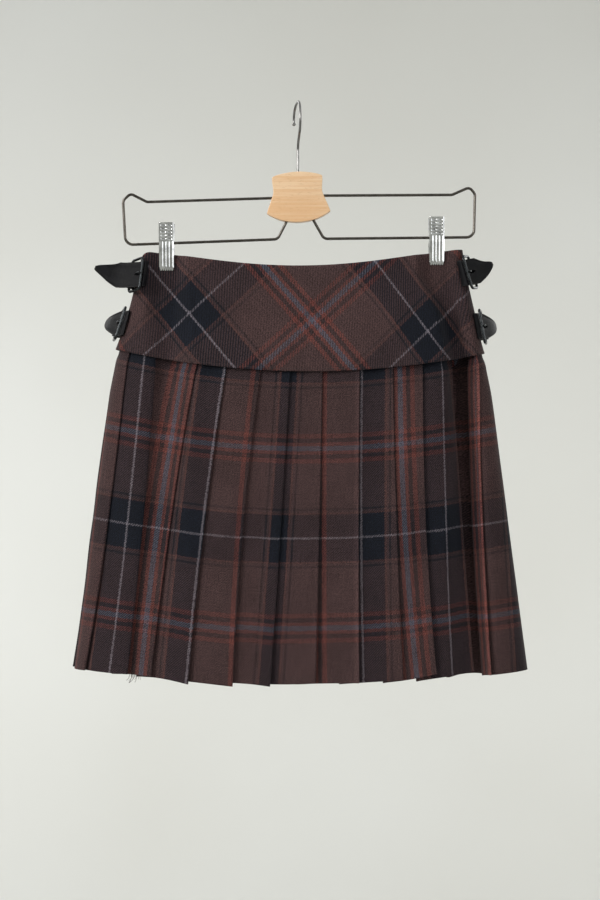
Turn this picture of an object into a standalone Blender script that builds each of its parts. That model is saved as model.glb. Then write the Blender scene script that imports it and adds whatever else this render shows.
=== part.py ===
"""A pleated kilt skirt hung from a clip hanger.

Metres, +Z up. The origin is the inner top of the hanger's hook, the front faces -Y and +X is to the right
of someone who looks at the front. The skirt is a closed ring of cloth. A place on it is given by an angle,
0 at the left side, 90 at the front's middle, 180 at the right side and 270 at the back's middle, and by a
level, 0 at the waist edge, 1 at the pleat seam and 2 at the hem.
"""

import bisect
import math
from collections import namedtuple

import bmesh
import bpy
from mathutils import Vector

MM = 0.001

# Cloth sizes, in millimetres
YOKE_WALL = 2.0
PLEAT_WALL = 1.2
SEAM_GAP = 0.5
SIDE_GAP = 0.8
CLIPPED_HALF_GAP = 1.25
WAIST_CORNER_DROP = 11.0
WAIST_CORNER_ANGLE = 20.0
WAIST_CORNER_LEVELS = 0.3

# The skirt's width and depth at each level: how far its sides reach from the hook's axis, how far the front
# and the back bulge from the hanger's plane, and how square the ring is
Level = namedtuple("Level", "name at left right front back square")
LEVELS = (
    Level("waist edge", 0.00, -156.0, 163.5, 10.5, 10.5, 8.0),
    Level("clip foot", 0.20, -159.5, 166.5, 13.0, 13.0, 7.0),
    Level("hip", 0.55, -167.0, 174.5, 24.0, 25.0, 5.0),
    Level("pleat seam", 1.00, -181.5, 185.7, 36.0, 38.0, 4.0),
    Level("thigh", 1.50, -203.0, 206.5, 43.0, 46.0, 4.0),
    Level("hem", 2.00, -225.8, 227.8, 50.0, 54.0, 4.0),
)

# The heights of the three edges: at the left side, at the right side, and how far the middle sags
Edge = namedtuple("Edge", "name at left right sag power")
EDGES = (
    Edge("waist edge", 0.0, -149.0, -147.0, 15.3, 3.0),
    Edge("pleat seam", 1.0, -247.0, -251.0, 20.5, 2.0),
    Edge("hem", 2.0, -564.0, -566.0, 12.0, 2.0),
)

# The two hollows below the clips, where the clips pinch the front and the back together
Hollow = namedtuple("Hollow", "at x front back flat fall")
HOLLOWS = {
    "left": (
        Hollow(0.00, -131.2, 1.00, 1.00, 9.0, 13.0),
        Hollow(0.20, -131.2, 1.00, 1.00, 9.0, 13.0),
        Hollow(0.55, -130.0, 0.62, 0.62, 4.0, 22.0),
        Hollow(1.00, -127.0, 0.36, 0.36, 0.0, 30.0),
        Hollow(2.00, -146.0, 0.12, 0.12, 0.0, 36.0),
    ),
    "right": (
        Hollow(0.00, 138.5, 1.00, 1.00, 9.0, 13.0),
        Hollow(0.20, 139.0, 1.00, 1.00, 9.0, 13.0),
        Hollow(0.55, 148.0, 0.80, 0.62, 3.0, 20.0),
        Hollow(1.00, 155.0, 0.62, 0.36, 0.0, 24.0),
        Hollow(2.00, 174.0, 0.34, 0.12, 0.0, 28.0),
    ),
}

# The front's knife pleats, by the place of each fold's edge across the front
Fold = namedtuple("Fold", "name seam middle hem")
FRONT_FOLDS = (
    Fold("A", -169.1, -187.2, -211.3),
    Fold("B", -140.6, -152.6, -168.1),
    Fold("C", -100.8, -125.9, -145.2),
    Fold("D", -71.0, -92.1, -108.1),
    Fold("E", -37.0, -54.2, -64.4),
    Fold("F", -7.9, -17.2, -27.7),
    Fold("G", 23.7, 20.7, 17.0),
    Fold("H", 60.4, 59.3, 59.7),
    Fold("I", 93.2, 96.5, 102.9),
    Fold("J", 123.2, 125.6, 135.9),
    Fold("K", 157.5, 163.4, 174.0),
    Fold("L", 179.7, 182.7, 190.7),
)
BACK_FOLD_COUNT = 12
RIGHT_SIDE_FOLD_ANGLE = 178.0
LEFT_SIDE_FOLD_ANGLE = 355.0
UNDERFOLD = 19.0
UNDERFOLD_SHARE = 0.6
LAYER_PITCH_SEAM = 1.9
LAYER_PITCH_HEM = 2.9
LAYERS_DEEP = 3.2
HEM_STEP = 2.0
PLEAT_ROWS = (1.0, 1.17, 1.38, 1.6, 1.8, 2.0)
FACE_STEPS = 3
YOKE_ROWS = (0.0, 0.1, 0.2, 0.36, 0.55, 0.78, 1.0)

# The yoke's columns across each half, closer together where the clips pinch it
Stretch = namedtuple("Stretch", "start end step")
YOKE_STRETCHES = (
    Stretch(0, 24, 4.0),
    Stretch(24, 48, 2.4),
    Stretch(48, 132, 6.0),
    Stretch(132, 156, 2.4),
    Stretch(156, 180, 4.0),
)
RING_SAMPLES = 720

# Leather and buckles, in millimetres and degrees. A buckle's place is its near bar's middle, before it is
# moved out to lie clear of the yoke; turned is how far the frame turns from straight back to sideways,
# swung is how far the strap's end swings, and tab is how far the chape runs along the back yoke
Buckle = namedtuple("Buckle", "name side bar_x bar_y bar_z lean turned swung tab")
BUCKLES = (
    Buckle("left_upper", -1, -147.0, -9.0, -169.0, 14.0, 52.0, 96.0, 7.0),
    Buckle("left_lower", -1, -173.0, -8.5, -221.2, 18.6, 8.0, 34.0, 24.0),
    Buckle("right_upper", 1, 157.0, -9.0, -170.5, 16.9, 46.0, 60.0, 7.0),
    Buckle("right_lower", 1, 179.0, -8.0, -224.0, 10.2, 8.0, 34.0, 24.0),
)
STRAP_WIDTH = 26.0
STRAP_WALL = 2.2
STRAP_LENGTH = 62.0
STRAP_ROOT = 5.0
STRAP_POINT = 25.0
STRAP_POINT_END = 3.0
STRAP_TIP_BLUNT = 1.5
STRAP_CLIMB = 27.0
STRAP_CLIMB_OVER = 6.0
STRAP_SWING_FROM = 17.0
STRAP_SWING_OVER = 26.0
STRAP_STEPS = 20
STRAP_HOLE_AT = 35.0
STRAP_HOLE_RADIUS = 1.4
PRONG_SLOT_AT = 10.5
PRONG_SLOT_LENGTH = 12.0
PRONG_SLOT_WIDTH = 3.4
FRAME_HEIGHT = 33.0
FRAME_LENGTH = 20.0
FRAME_WIRE = 1.4
FRAME_CORNER = 4.0
PRONG_WIRE = 1.0
CHAPE_WALL = 1.4
CHAPE_WIDTH = 25.0
CHAPE_CLEARANCE = 0.5
CHAPE_LEAD = 5.0
CHAPE_STEPS = 8
NEIGHBOUR_GAP = 0.3
LAID_GAP = 0.95
REACH_STEPS = 20

# The prong's middle line, from its tip: how far it is beyond the near bar and how far it sinks towards the
# strap from where it rests on that bar
ProngSpot = namedtuple("ProngSpot", "name along sink")
PRONG_SPOTS = (
    ProngSpot("tip", -1.6, 0.3),
    ProngSpot("near bar", 0.6, 0.0),
    ProngSpot("over strap", 5.0, 0.2),
    ProngSpot("in slot", 10.5, 2.4),
    ProngSpot("heel", 15.6, 3.2),
)

# Hanger, in millimetres
HOOK_WIRE = 1.3
HOOK_RADIUS = 18.0
HOOK_TWIST = 8.0
HOOK_TIP_ANGLE = -8.0
HOOK_NECK_ANGLE = 236.0
HOOK_STEPS = 20
HOOK_FOOT = -76.0

# The ball at the hook's tip and the bends below its arc, in the hook's own plane. share is the wire's size
HookSpot = namedtuple("HookSpot", "y z share")
HOOK_BALL = (
    HookSpot(18.1, -21.4, 0.75),
    HookSpot(18.1, -20.6, 1.35),
    HookSpot(18.0, -19.7, 1.35),
)
HOOK_NECK = (
    HookSpot(-5.6, -36.0, 1.0),
    HookSpot(-2.2, -40.2, 1.0),
    HookSpot(-0.5, -45.0, 1.0),
    HookSpot(0.0, -50.0, 1.0),
    HookSpot(0.0, HOOK_FOOT, 1.0),
)
LOOP_WIRE = 1.4
PLATE_THICK = 13.0
PLATE_TILT = -2.5
PLATE_EDGE = 1.6
HOLE_CLEARANCE = 0.35
HOLE_DEPTH = 1.5
HOLE_CUTTER_LENGTH = 20.0

# The wire loops' corners, each with its bending radius, from the plate round to the plate again
Corner = namedtuple("Corner", "x z radius")
LOOP_LEFT = (
    Corner(-18.0, -94.9, 0.0),
    Corner(-151.0, -99.0, 6.0),
    Corner(-167.5, -90.6, 5.0),
    Corner(-174.9, -97.5, 6.0),
    Corner(-172.4, -141.9, 8.0),
    Corner(-20.5, -136.3, 6.0),
    Corner(-9.0, -114.0, 0.0),
)
LOOP_RIGHT = (
    Corner(18.0, -92.7, 0.0),
    Corner(154.0, -91.9, 6.0),
    Corner(171.5, -84.2, 5.0),
    Corner(177.0, -91.0, 6.0),
    Corner(176.0, -134.3, 8.0),
    Corner(26.0, -135.8, 6.0),
    Corner(13.0, -113.0, 0.0),
)

# Half of the plate's outline, from its top middle down to its bottom middle, about the hook's axis
PlateEdge = namedtuple("PlateEdge", "x z")
PLATE_OUTLINE = (
    PlateEdge(0.0, -69.2),
    PlateEdge(14.0, -70.6),
    PlateEdge(23.5, -73.2),
    PlateEdge(25.2, -76.5),
    PlateEdge(24.4, -88.0),
    PlateEdge(26.2, -95.0),
    PlateEdge(31.0, -107.5),
    PlateEdge(30.0, -111.0),
    PlateEdge(17.0, -117.2),
    PlateEdge(0.0, -119.6),
)

# A clip jaw's section, by height over the wire that it pivots on: how far the plate stands from the
# hanger's plane and how deep its side flanges are
Jaw = namedtuple("Jaw", "name up out flange")
JAW_ROWS = (
    Jaw("thumb edge", 20.3, 9.2, 0.05),
    Jaw("thumb", 13.0, 8.4, 1.6),
    Jaw("shoulder", 4.5, 7.2, 5.6),
    Jaw("below wire", -4.5, 6.5, 4.6),
    Jaw("waist", -9.0, 5.9, 0.2),
    Jaw("grip", -24.0, 4.0, 0.05),
    Jaw("teeth", -27.8, 3.85, 0.05),
)
JAW_PLATE = 0.9
JAW_HALF_WIDTH = 7.75
JAW_HOLE_CLEARANCE = 0.75
SPRING_CLEARANCE = 0.55
Clip = namedtuple("Clip", "name x wire_z")
CLIPS = (Clip("left", -131.2, -140.4), Clip("right", 138.5, -134.7))
SPRING_OUTER = 4.0
SPRING_HALF_LENGTH = 5.0

# Colours as linear values, with roughness and metal
Finish = namedtuple("Finish", "name colour roughness metal")
TARTAN = Finish("tartan", (0.07, 0.045, 0.045, 1.0), 0.9, 0.0)
LEATHER = Finish("leather", (0.012, 0.012, 0.014, 1.0), 0.55, 0.0)
BUCKLE_METAL = Finish("buckle_metal", (0.10, 0.11, 0.12, 1.0), 0.4, 1.0)
STEEL_WIRE = Finish("steel_wire", (0.35, 0.34, 0.32, 1.0), 0.3, 1.0)
CHROME = Finish("chrome", (0.75, 0.76, 0.78, 1.0), 0.15, 1.0)
BEECH = Finish("beech", (0.78, 0.56, 0.36, 1.0), 0.5, 0.0)


# Scene, objects and finishes


def clear_scene():
    for obj in list(bpy.data.objects):
        bpy.data.objects.remove(obj, do_unlink=True)


def new_collection(name):
    collection = bpy.data.collections.new(name)
    bpy.context.scene.collection.children.link(collection)
    return collection


def material_of(finish):
    """The finish as a Principled material, made once."""
    made = bpy.data.materials.get(finish.name)
    if made:
        return made
    made = bpy.data.materials.new(finish.name)
    made.use_nodes = True
    shader = made.node_tree.nodes["Principled BSDF"]
    shader.inputs["Base Color"].default_value = finish.colour
    shader.inputs["Roughness"].default_value = finish.roughness
    shader.inputs["Metallic"].default_value = finish.metal
    return made


def add_object(name, data, finish, collection):
    obj = bpy.data.objects.new(name, data)
    collection.objects.link(obj)
    if finish:
        data.materials.append(material_of(finish))
    return obj


def as_mesh_object(obj, collection):
    """The object's evaluated shape as a plain mesh object of the same name and place, its caps welded."""
    graph = bpy.context.evaluated_depsgraph_get()
    mesh = bpy.data.meshes.new_from_object(obj.evaluated_get(graph))
    shape = bmesh.new()
    shape.from_mesh(mesh)
    bmesh.ops.remove_doubles(shape, verts=shape.verts, dist=0.000005)
    shape.to_mesh(mesh)
    shape.free()
    name, place = obj.name, obj.matrix_world.copy()
    bpy.data.objects.remove(obj, do_unlink=True)
    solid = bpy.data.objects.new(name, mesh)
    solid.matrix_world = place
    collection.objects.link(solid)
    return solid


def cut_with(obj, cutter):
    cutter.hide_render = True
    cutter.display_type = "WIRE"
    cut = obj.modifiers.new("Cut " + cutter.name, "BOOLEAN")
    cut.operation = "DIFFERENCE"
    cut.object = cutter


def smooth(obj, angle=40.0):
    obj.data.shade_smooth()
    obj.data.set_sharp_from_angle(angle=math.radians(angle))


def sheet_object(name, rows, thickness, finish, collection):
    """A wall of the given thickness round an open grid of points in millimetres."""
    width = len(rows[0])
    points = [point * MM for row in rows for point in row]
    faces = []
    for i in range(len(rows) - 1):
        for j in range(width - 1):
            corner = i * width + j
            faces.append((corner, corner + width, corner + width + 1, corner + 1))
    mesh = bpy.data.meshes.new(name)
    mesh.from_pydata(points, [], faces)
    obj = add_object(name, mesh, finish, collection)
    wall = obj.modifiers.new("Wall", "SOLIDIFY")
    wall.thickness = thickness * MM
    wall.offset = 0.0
    wall.use_even_offset = True
    return obj


def wire_object(name, points, radius, finish, collection, cyclic=False, scale=None):
    """A round wire along points in millimetres. scale holds each point's share of the radius."""
    curve = bpy.data.curves.new(name, "CURVE")
    curve.dimensions = "3D"
    curve.bevel_depth = radius * MM
    curve.bevel_resolution = 2
    curve.use_fill_caps = True
    spline = curve.splines.new("POLY")
    spline.points.add(len(points) - 1)
    for i, point in enumerate(points):
        spline.points[i].co = (*(Vector(point) * MM), 1.0)
        spline.points[i].radius = scale[i] if scale else 1.0
    spline.use_cyclic_u = cyclic
    return add_object(name, curve, finish, collection)


# Curves through named rows


def smooth_value(rows, column, at):
    """A column of the rows, read at a level along a curve that passes through every row."""
    places = [row.at for row in rows]
    values = [getattr(row, column) for row in rows]
    at = min(max(at, places[0]), places[-1])
    i = min(max(bisect.bisect_right(places, at) - 1, 0), len(rows) - 2)

    def slope(k):
        low, high = max(k - 1, 0), min(k + 1, len(rows) - 1)
        return (values[high] - values[low]) / (places[high] - places[low])

    span = places[i + 1] - places[i]
    t = (at - places[i]) / span
    start, end = slope(i) * span, slope(i + 1) * span
    return (
        (2 * t**3 - 3 * t**2 + 1) * values[i]
        + (t**3 - 2 * t**2 + t) * start
        + (3 * t**2 - 2 * t**3) * values[i + 1]
        + (t**3 - t**2) * end
    )


def straight_value(rows, column, at):
    """A column of the rows, read along straight lines from row to row."""
    at = min(max(at, rows[0].at), rows[-1].at)
    for low, high in zip(rows, rows[1:]):
        if at <= high.at:
            break
    share = (at - low.at) / (high.at - low.at)
    return getattr(low, column) + share * (getattr(high, column) - getattr(low, column))


def ease(share):
    share = min(max(share, 0.0), 1.0)
    return share * share * (3 - 2 * share)


# The skirt's ring


def ring_point(angle, at):
    """The middle of the cloth at an angle round the ring and a level, in millimetres."""
    left = smooth_value(LEVELS, "left", at)
    right = smooth_value(LEVELS, "right", at)
    across = -math.cos(math.radians(angle))
    towards = math.sin(math.radians(angle))
    face = "front" if towards >= 0 else "back"
    x = (left + right) / 2 + (right - left) / 2 * across
    square = smooth_value(LEVELS, "square", at)
    depth = smooth_value(LEVELS, face, at) * math.sqrt(max(1 - abs(across) ** square, 0.0))
    for rows in HOLLOWS.values():
        off = abs(x - smooth_value(rows, "x", at)) - straight_value(rows, "flat", at)
        near = 1 - ease(off / straight_value(rows, "fall", at))
        pinch = near * smooth_value(rows, face, at)
        floor = min(depth, CLIPPED_HALF_GAP)
        depth = floor + (depth - floor) * (1 - pinch)
    side = straight_value(EDGES, "left", at) * (1 - across) / 2
    side += straight_value(EDGES, "right", at) * (1 + across) / 2
    power = straight_value(EDGES, "power", at)
    z = side - straight_value(EDGES, "sag", at) * abs(towards) ** power
    from_left = min(angle, 360 - angle) / WAIST_CORNER_ANGLE
    z -= WAIST_CORNER_DROP * max(1 - from_left, 0.0) ** 2 * max(1 - at / WAIST_CORNER_LEVELS, 0.0)
    return Vector((x, -depth if towards >= 0 else depth, z))


class Ring:
    """The ring at one level, read by the distance along it from the left side."""

    def __init__(self, at):
        self.at = at
        step = 360 / RING_SAMPLES
        self.angles = [i * step for i in range(RING_SAMPLES + 1)]
        self.points = [ring_point(angle % 360, at) for angle in self.angles]
        self.lengths = [0.0]
        for a, b in zip(self.points, self.points[1:]):
            self.lengths.append(self.lengths[-1] + math.hypot(b.x - a.x, b.y - a.y))
        self.whole = self.lengths[-1]

    def angle_at(self, length):
        turns, rest = divmod(length, self.whole)
        i = min(max(bisect.bisect_right(self.lengths, rest) - 1, 0), RING_SAMPLES - 1)
        share = (rest - self.lengths[i]) / (self.lengths[i + 1] - self.lengths[i])
        return 360 * turns + self.angles[i] + share * (self.angles[i + 1] - self.angles[i])

    def length_at(self, angle):
        i = min(int(angle / 360 * RING_SAMPLES), RING_SAMPLES - 1)
        share = (angle - self.angles[i]) / (self.angles[i + 1] - self.angles[i])
        return self.lengths[i] + share * (self.lengths[i + 1] - self.lengths[i])

    def length_at_front(self, x):
        """The distance to where the front crosses x."""
        for i in range(RING_SAMPLES // 2):
            if self.points[i + 1].x >= x:
                share = (x - self.points[i].x) / (self.points[i + 1].x - self.points[i].x)
                return self.lengths[i] + share * (self.lengths[i + 1] - self.lengths[i])
        return self.lengths[RING_SAMPLES // 2]

    def place(self, length, inward):
        """A point at this distance along the ring, moved in from the cloth's middle."""
        point = ring_point(self.angle_at(length) % 360, self.at)
        before = ring_point(self.angle_at(length - 1.5) % 360, self.at)
        after = ring_point(self.angle_at(length + 1.5) % 360, self.at)
        along = Vector((after.x - before.x, after.y - before.y, 0)).normalized()
        return point + inward * Vector((-along.y, along.x, 0))


FRONT_HALF = range(RING_SAMPLES // 2)
BACK_HALF = range(RING_SAMPLES // 2, RING_SAMPLES)


def level_at(angle, z):
    """The level at which the yoke is this high."""
    low, high = -0.1, 1.1
    for _ in range(24):
        middle = (low + high) / 2
        if ring_point(angle, middle).z > z:
            low = middle
        else:
            high = middle
    return low


def beside_yoke(place, ahead, half, thickness):
    """Where something of this thickness lies on the yoke at the height of place: the nearest spot on this
    half of the ring, or one that is this far ahead of it."""
    angle = 90.0 if half is FRONT_HALF else 270.0
    angle += 80 if (place.x > 0) == (half is FRONT_HALF) else -80
    for step in (0, ahead):
        ring = Ring(level_at(angle % 360, place.z))
        nearest = min(half, key=lambda i: (ring.points[i] - place).xy.length)
        angle = ring.angle_at(ring.lengths[nearest] + step)
    at = level_at(angle % 360, place.z)
    point = ring_point(angle % 360, at)
    before = ring_point((angle - 0.7) % 360, at)
    after = ring_point((angle + 0.7) % 360, at)
    outward = Vector((after.y - before.y, before.x - after.x, 0)).normalized()
    apart = Vector((0, -SIDE_GAP / 2 if half is FRONT_HALF else SIDE_GAP / 2, 0))
    return point + apart + outward * (YOKE_WALL / 2 + LAID_GAP + thickness / 2)


# Yoke


def yoke_half(name, first_angle, collection):
    """Half of the yoke, from one side to the other, cut short of the other half by the seam's gap."""
    angles = [0.0]
    for stretch in YOKE_STRETCHES:
        steps = round((stretch.end - stretch.start) / stretch.step)
        angles.extend(stretch.start + stretch.step * (i + 1) for i in range(steps))
    apart = Vector((0, -SIDE_GAP / 2 if first_angle == 0 else SIDE_GAP / 2, 0))
    rows = []
    for at in YOKE_ROWS:
        rows.append([ring_point((first_angle + angle) % 360, at) + apart for angle in angles])
    obj = sheet_object(name, rows, YOKE_WALL, TARTAN, collection)
    smooth(obj)
    return obj


# Pleats


def fold_places(ring):
    """The distance along the ring of each fold's edge, the front's first."""
    t = ring.at - 1
    places = []
    for fold in FRONT_FOLDS:
        x = fold.seam * (1 - t) * (1 - 2 * t) + fold.middle * 4 * t * (1 - t) + fold.hem * t * (2 * t - 1)
        places.append(ring.length_at_front(x))
    first = ring.length_at(RIGHT_SIDE_FOLD_ANGLE)
    last = ring.length_at(LEFT_SIDE_FOLD_ANGLE)
    for i in range(BACK_FOLD_COUNT + 1):
        places.append(first + (last - first) * i / BACK_FOLD_COUNT)
    return places


def underfold_of(width):
    return min(UNDERFOLD, UNDERFOLD_SHARE * width)


def pleat_profile(previous, fold, previous_under, pitch):
    """One pleat as (distance, inward, lift) rows: its face from the hidden corner to the fold, the turn,
    and the underfold back to the next hidden corner."""
    deep = LAYERS_DEEP * pitch
    turn = pitch / 2
    start = previous - previous_under + turn
    end = fold - turn
    under = underfold_of(fold - previous)
    back = fold - under + turn
    rows = []
    for i in range(FACE_STEPS + 1):
        share = i / FACE_STEPS
        rows.append((start + share * (end - start), deep * (1 - share), -share))
    rows.append((fold, turn, -1.0))
    rows.append((end, pitch, -1.0))
    rows.append(((end + back) / 2, deep / 2, 0.0))
    rows.append((back, deep - pitch, 0.5))
    rows.append((fold - under, deep - turn, 0.5))
    return rows


def pleat_columns():
    """For each row of the pleats, the points of every pleat round the ring, in a list for each pleat."""
    table = []
    for at in PLEAT_ROWS:
        ring = Ring(at)
        pitch = LAYER_PITCH_SEAM + (at - 1) * (LAYER_PITCH_HEM - LAYER_PITCH_SEAM)
        places = fold_places(ring)
        before = [places[-1] - ring.whole] + places[:-1]
        earlier = [places[-2] - ring.whole] + before[:-1]
        pleats = []
        for fold, previous, second in zip(places, before, earlier):
            profile = pleat_profile(previous, fold, underfold_of(previous - second), pitch)
            points = []
            for length, inward, lift in profile:
                point = ring.place(length, inward)
                point.z += lift * HEM_STEP * (at - 1)
                if at == PLEAT_ROWS[0]:
                    point.z -= SEAM_GAP
                points.append(point)
            pleats.append(points)
        table.append(pleats)
    return table


def pleats_half(name, table, first, last, collection):
    """The pleats from first to last. The last one's underfold ends clear of the next half's hidden start."""
    rows = []
    for pleats in table:
        row = []
        for pleat in pleats[first:last]:
            row.extend(pleat)
        rows.append(row[:-1])
    obj = sheet_object(name, rows, PLEAT_WALL, TARTAN, collection)
    smooth(obj)
    return obj


# Straps and buckles


def buckle_frame_axes(buckle):
    """The buckle's own axes: along the frame towards the back, outward from the cloth, and up."""
    turned = math.radians(buckle.turned)
    lean = math.radians(buckle.lean)
    along = Vector((buckle.side * math.sin(turned), math.cos(turned), 0))
    outward = Vector((buckle.side * math.cos(turned), -math.sin(turned), 0))
    up = Vector((-buckle.side * math.sin(lean), 0, math.cos(lean)))
    return along, outward, up


def bar_of(buckle):
    """The near bar's middle, moved out until the strap under it clears the yoke over the frame's height."""
    _, outward, up = buckle_frame_axes(buckle)
    bar = Vector((buckle.bar_x, buckle.bar_y, buckle.bar_z))
    reach = -math.inf
    first = -60 if buckle.side < 0 else 120
    for i in range(REACH_STEPS + 1):
        for turn in range(0, 120, 5):
            point = ring_point((first + turn) % 360, i / REACH_STEPS)
            rise = point.z - bar.z
            if abs(rise) <= FRAME_HEIGHT / 2:
                reach = max(reach, outward.dot(point - up * rise / up.z))
    layers = YOKE_WALL / 2 + STRAP_WALL + 2 * NEIGHBOUR_GAP + FRAME_WIRE
    return bar + outward * (reach + layers - outward.dot(bar))


def strap_path(buckle):
    """The strap's middle in plan, as (distance, point) rows from its root to its tip."""
    along, outward, _ = buckle_frame_axes(buckle)
    bar = bar_of(buckle)
    under_bar = FRAME_WIRE + NEIGHBOUR_GAP + STRAP_WALL / 2
    root = bar - outward * under_bar - along * STRAP_ROOT
    rows = [(-STRAP_ROOT, root)]
    place = root
    step = (STRAP_LENGTH + STRAP_ROOT) / STRAP_STEPS
    for i in range(STRAP_STEPS):
        middle = -STRAP_ROOT + (i + 0.5) * step
        climb = STRAP_CLIMB * ease(middle / STRAP_CLIMB_OVER)
        swing = buckle.swung - buckle.turned - STRAP_CLIMB
        swing *= ease((middle - STRAP_SWING_FROM) / STRAP_SWING_OVER)
        heading = math.radians(climb + swing)
        place = place + step * (math.cos(heading) * along + math.sin(heading) * outward)
        rows.append((-STRAP_ROOT + (i + 1) * step, place))
    return rows


def strap_half_width(distance):
    """Half of the strap's width, which narrows to a blunt, rounded point."""
    left = STRAP_LENGTH - distance
    if left >= STRAP_POINT:
        return STRAP_WIDTH / 2
    share = max(left - STRAP_TIP_BLUNT, 0) / (STRAP_POINT - STRAP_TIP_BLUNT)
    width = STRAP_POINT_END + share * (STRAP_WIDTH / 2 - STRAP_POINT_END)
    return width * math.sqrt(min(left / (2 * STRAP_TIP_BLUNT) + 0.12, 1.0))


def strap(buckle, collection, cutters):
    """A pointed strap, pierced for the prong and punched once more towards its tip."""
    up = buckle_frame_axes(buckle)[2]
    path = strap_path(buckle)
    rows = []
    for distance, place in path:
        row = [place + up * strap_half_width(distance) * share for share in (-1, 0, 1)]
        if distance < 0:
            sewn = ease(-distance / STRAP_ROOT)
            row = [spot.lerp(beside_yoke(spot, 0, FRONT_HALF, STRAP_WALL), sewn) for spot in row]
        rows.append(row)
    if buckle.side > 0:
        rows = [row[::-1] for row in rows]
    obj = sheet_object("strap_" + buckle.name, rows, STRAP_WALL, LEATHER, collection)
    for label, at, size in (
        ("hole", STRAP_HOLE_AT, (STRAP_HOLE_RADIUS * 2, STRAP_HOLE_RADIUS * 2)),
        ("slot", PRONG_SLOT_AT, (PRONG_SLOT_LENGTH, PRONG_SLOT_WIDTH)),
    ):
        distances = [row[0] for row in path]
        i = bisect.bisect_right(distances, at) - 1
        share = (at - distances[i]) / (distances[i + 1] - distances[i])
        place = path[i][1].lerp(path[i + 1][1], share)
        heading = (path[i + 1][1] - path[i][1]).normalized()
        across = heading.cross(up).normalized()
        mesh = bpy.data.meshes.new(obj.name + "_" + label)
        shape = bmesh.new()
        bmesh.ops.create_cone(shape, cap_ends=True, segments=12, radius1=0.5, radius2=0.5, depth=1.0)
        for vert in shape.verts:
            flat = vert.co.copy()
            offset = heading * flat.x * size[0] + up * flat.y * size[1] + across * flat.z * 12
            vert.co = (place + offset) * MM
        shape.to_mesh(mesh)
        shape.free()
        cut_with(obj, add_object(obj.name + "_" + label, mesh, None, cutters))
    smooth(obj)


def rounded_rectangle(length, height, corner):
    """The middle line of a wire frame, starting at its lower left, as (along, up) pairs."""
    points = []
    centres = (
        (length - corner, -height / 2 + corner, -90),
        (length - corner, height / 2 - corner, 0),
        (corner, height / 2 - corner, 90),
        (corner, -height / 2 + corner, 180),
    )
    for x, z, first in centres:
        for i in range(4):
            angle = math.radians(first + 30 * i)
            points.append((x + corner * math.cos(angle), z + corner * math.sin(angle)))
    return points


def buckle_frame(buckle, collection):
    along, _, up = buckle_frame_axes(buckle)
    bar = bar_of(buckle)
    outline = rounded_rectangle(FRAME_LENGTH, FRAME_HEIGHT, FRAME_CORNER)
    points = [bar + along * x + up * z for x, z in outline]
    wire_object("buckle_" + buckle.name, points, FRAME_WIRE, BUCKLE_METAL, collection, cyclic=True)


def prong(buckle, collection):
    """The prong: from over the far bar, through the strap and on to the near bar."""
    along, outward, _ = buckle_frame_axes(buckle)
    bar = bar_of(buckle)
    rest = FRAME_WIRE + 2 * NEIGHBOUR_GAP + PRONG_WIRE
    points = [bar + along * spot.along + outward * (rest - spot.sink) for spot in PRONG_SPOTS]
    wire_object("prong_" + buckle.name, points, PRONG_WIRE, BUCKLE_METAL, collection)


def chape(buckle, collection):
    """The leather tab that wraps the far bar and lies along the back yoke, each edge on its own level."""
    along, outward, up = buckle_frame_axes(buckle)
    heel = bar_of(buckle) + along * FRAME_LENGTH
    wrap = FRAME_WIRE + CHAPE_CLEARANCE + CHAPE_WALL / 2
    columns = []
    for share in (-1, 0, 1):
        middle = heel + up * CHAPE_WIDTH / 2 * share
        column = []
        for i in range(7):
            angle = math.radians(90 - 30 * i)
            column.append(middle - wrap * (along * math.cos(angle) - outward * math.sin(angle)))
        end = column[-1]
        for i in range(CHAPE_STEPS + 1):
            ahead = CHAPE_LEAD + buckle.tab * i / CHAPE_STEPS
            column.append(beside_yoke(end, buckle.side * ahead, BACK_HALF, CHAPE_WALL))
        columns.append(column)
    rows = list(zip(*columns))
    if buckle.side > 0:
        rows = [row[::-1] for row in rows]
    obj = sheet_object("chape_" + buckle.name, rows, CHAPE_WALL, LEATHER, collection)
    smooth(obj)


# Hanger


def bent_points(corners, steps=4):
    """Points along straight runs in the hanger's plane with an arc at each corner."""
    points = []
    for i, corner in enumerate(corners):
        here = Vector((corner.x, 0, corner.z))
        if corner.radius == 0:
            points.append(here)
            continue
        back = (Vector((corners[i - 1].x, 0, corners[i - 1].z)) - here).normalized()
        on = (Vector((corners[i + 1].x, 0, corners[i + 1].z)) - here).normalized()
        half = back.angle(on) / 2
        reach = corner.radius / math.tan(half)
        centre = here + (back + on).normalized() * corner.radius / math.sin(half)
        start = (here + back * reach - centre).normalized()
        end = (here + on * reach - centre).normalized()
        for k in range(steps + 1):
            points.append(centre + start.slerp(end, k / steps) * corner.radius)
    return points


def hook(collection):
    """The hook's wire, from the ball at its tip over the top and down to its end in the plate."""
    centre_z = HOOK_WIRE - HOOK_RADIUS
    arc = []
    for i in range(1, HOOK_STEPS + 1):
        angle = math.radians(HOOK_TIP_ANGLE + (HOOK_NECK_ANGLE - HOOK_TIP_ANGLE) * i / HOOK_STEPS)
        y = HOOK_RADIUS * math.cos(angle)
        arc.append(HookSpot(y, centre_z + HOOK_RADIUS * math.sin(angle), 1.0))
    spots = [*HOOK_BALL, *arc, *HOOK_NECK]
    points = [(0, spot.y, spot.z) for spot in spots]
    scale = [spot.share for spot in spots]
    obj = wire_object("hanger_hook", points, HOOK_WIRE, STEEL_WIRE, collection, scale=scale)
    obj.rotation_euler.z = math.radians(HOOK_TWIST)


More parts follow.
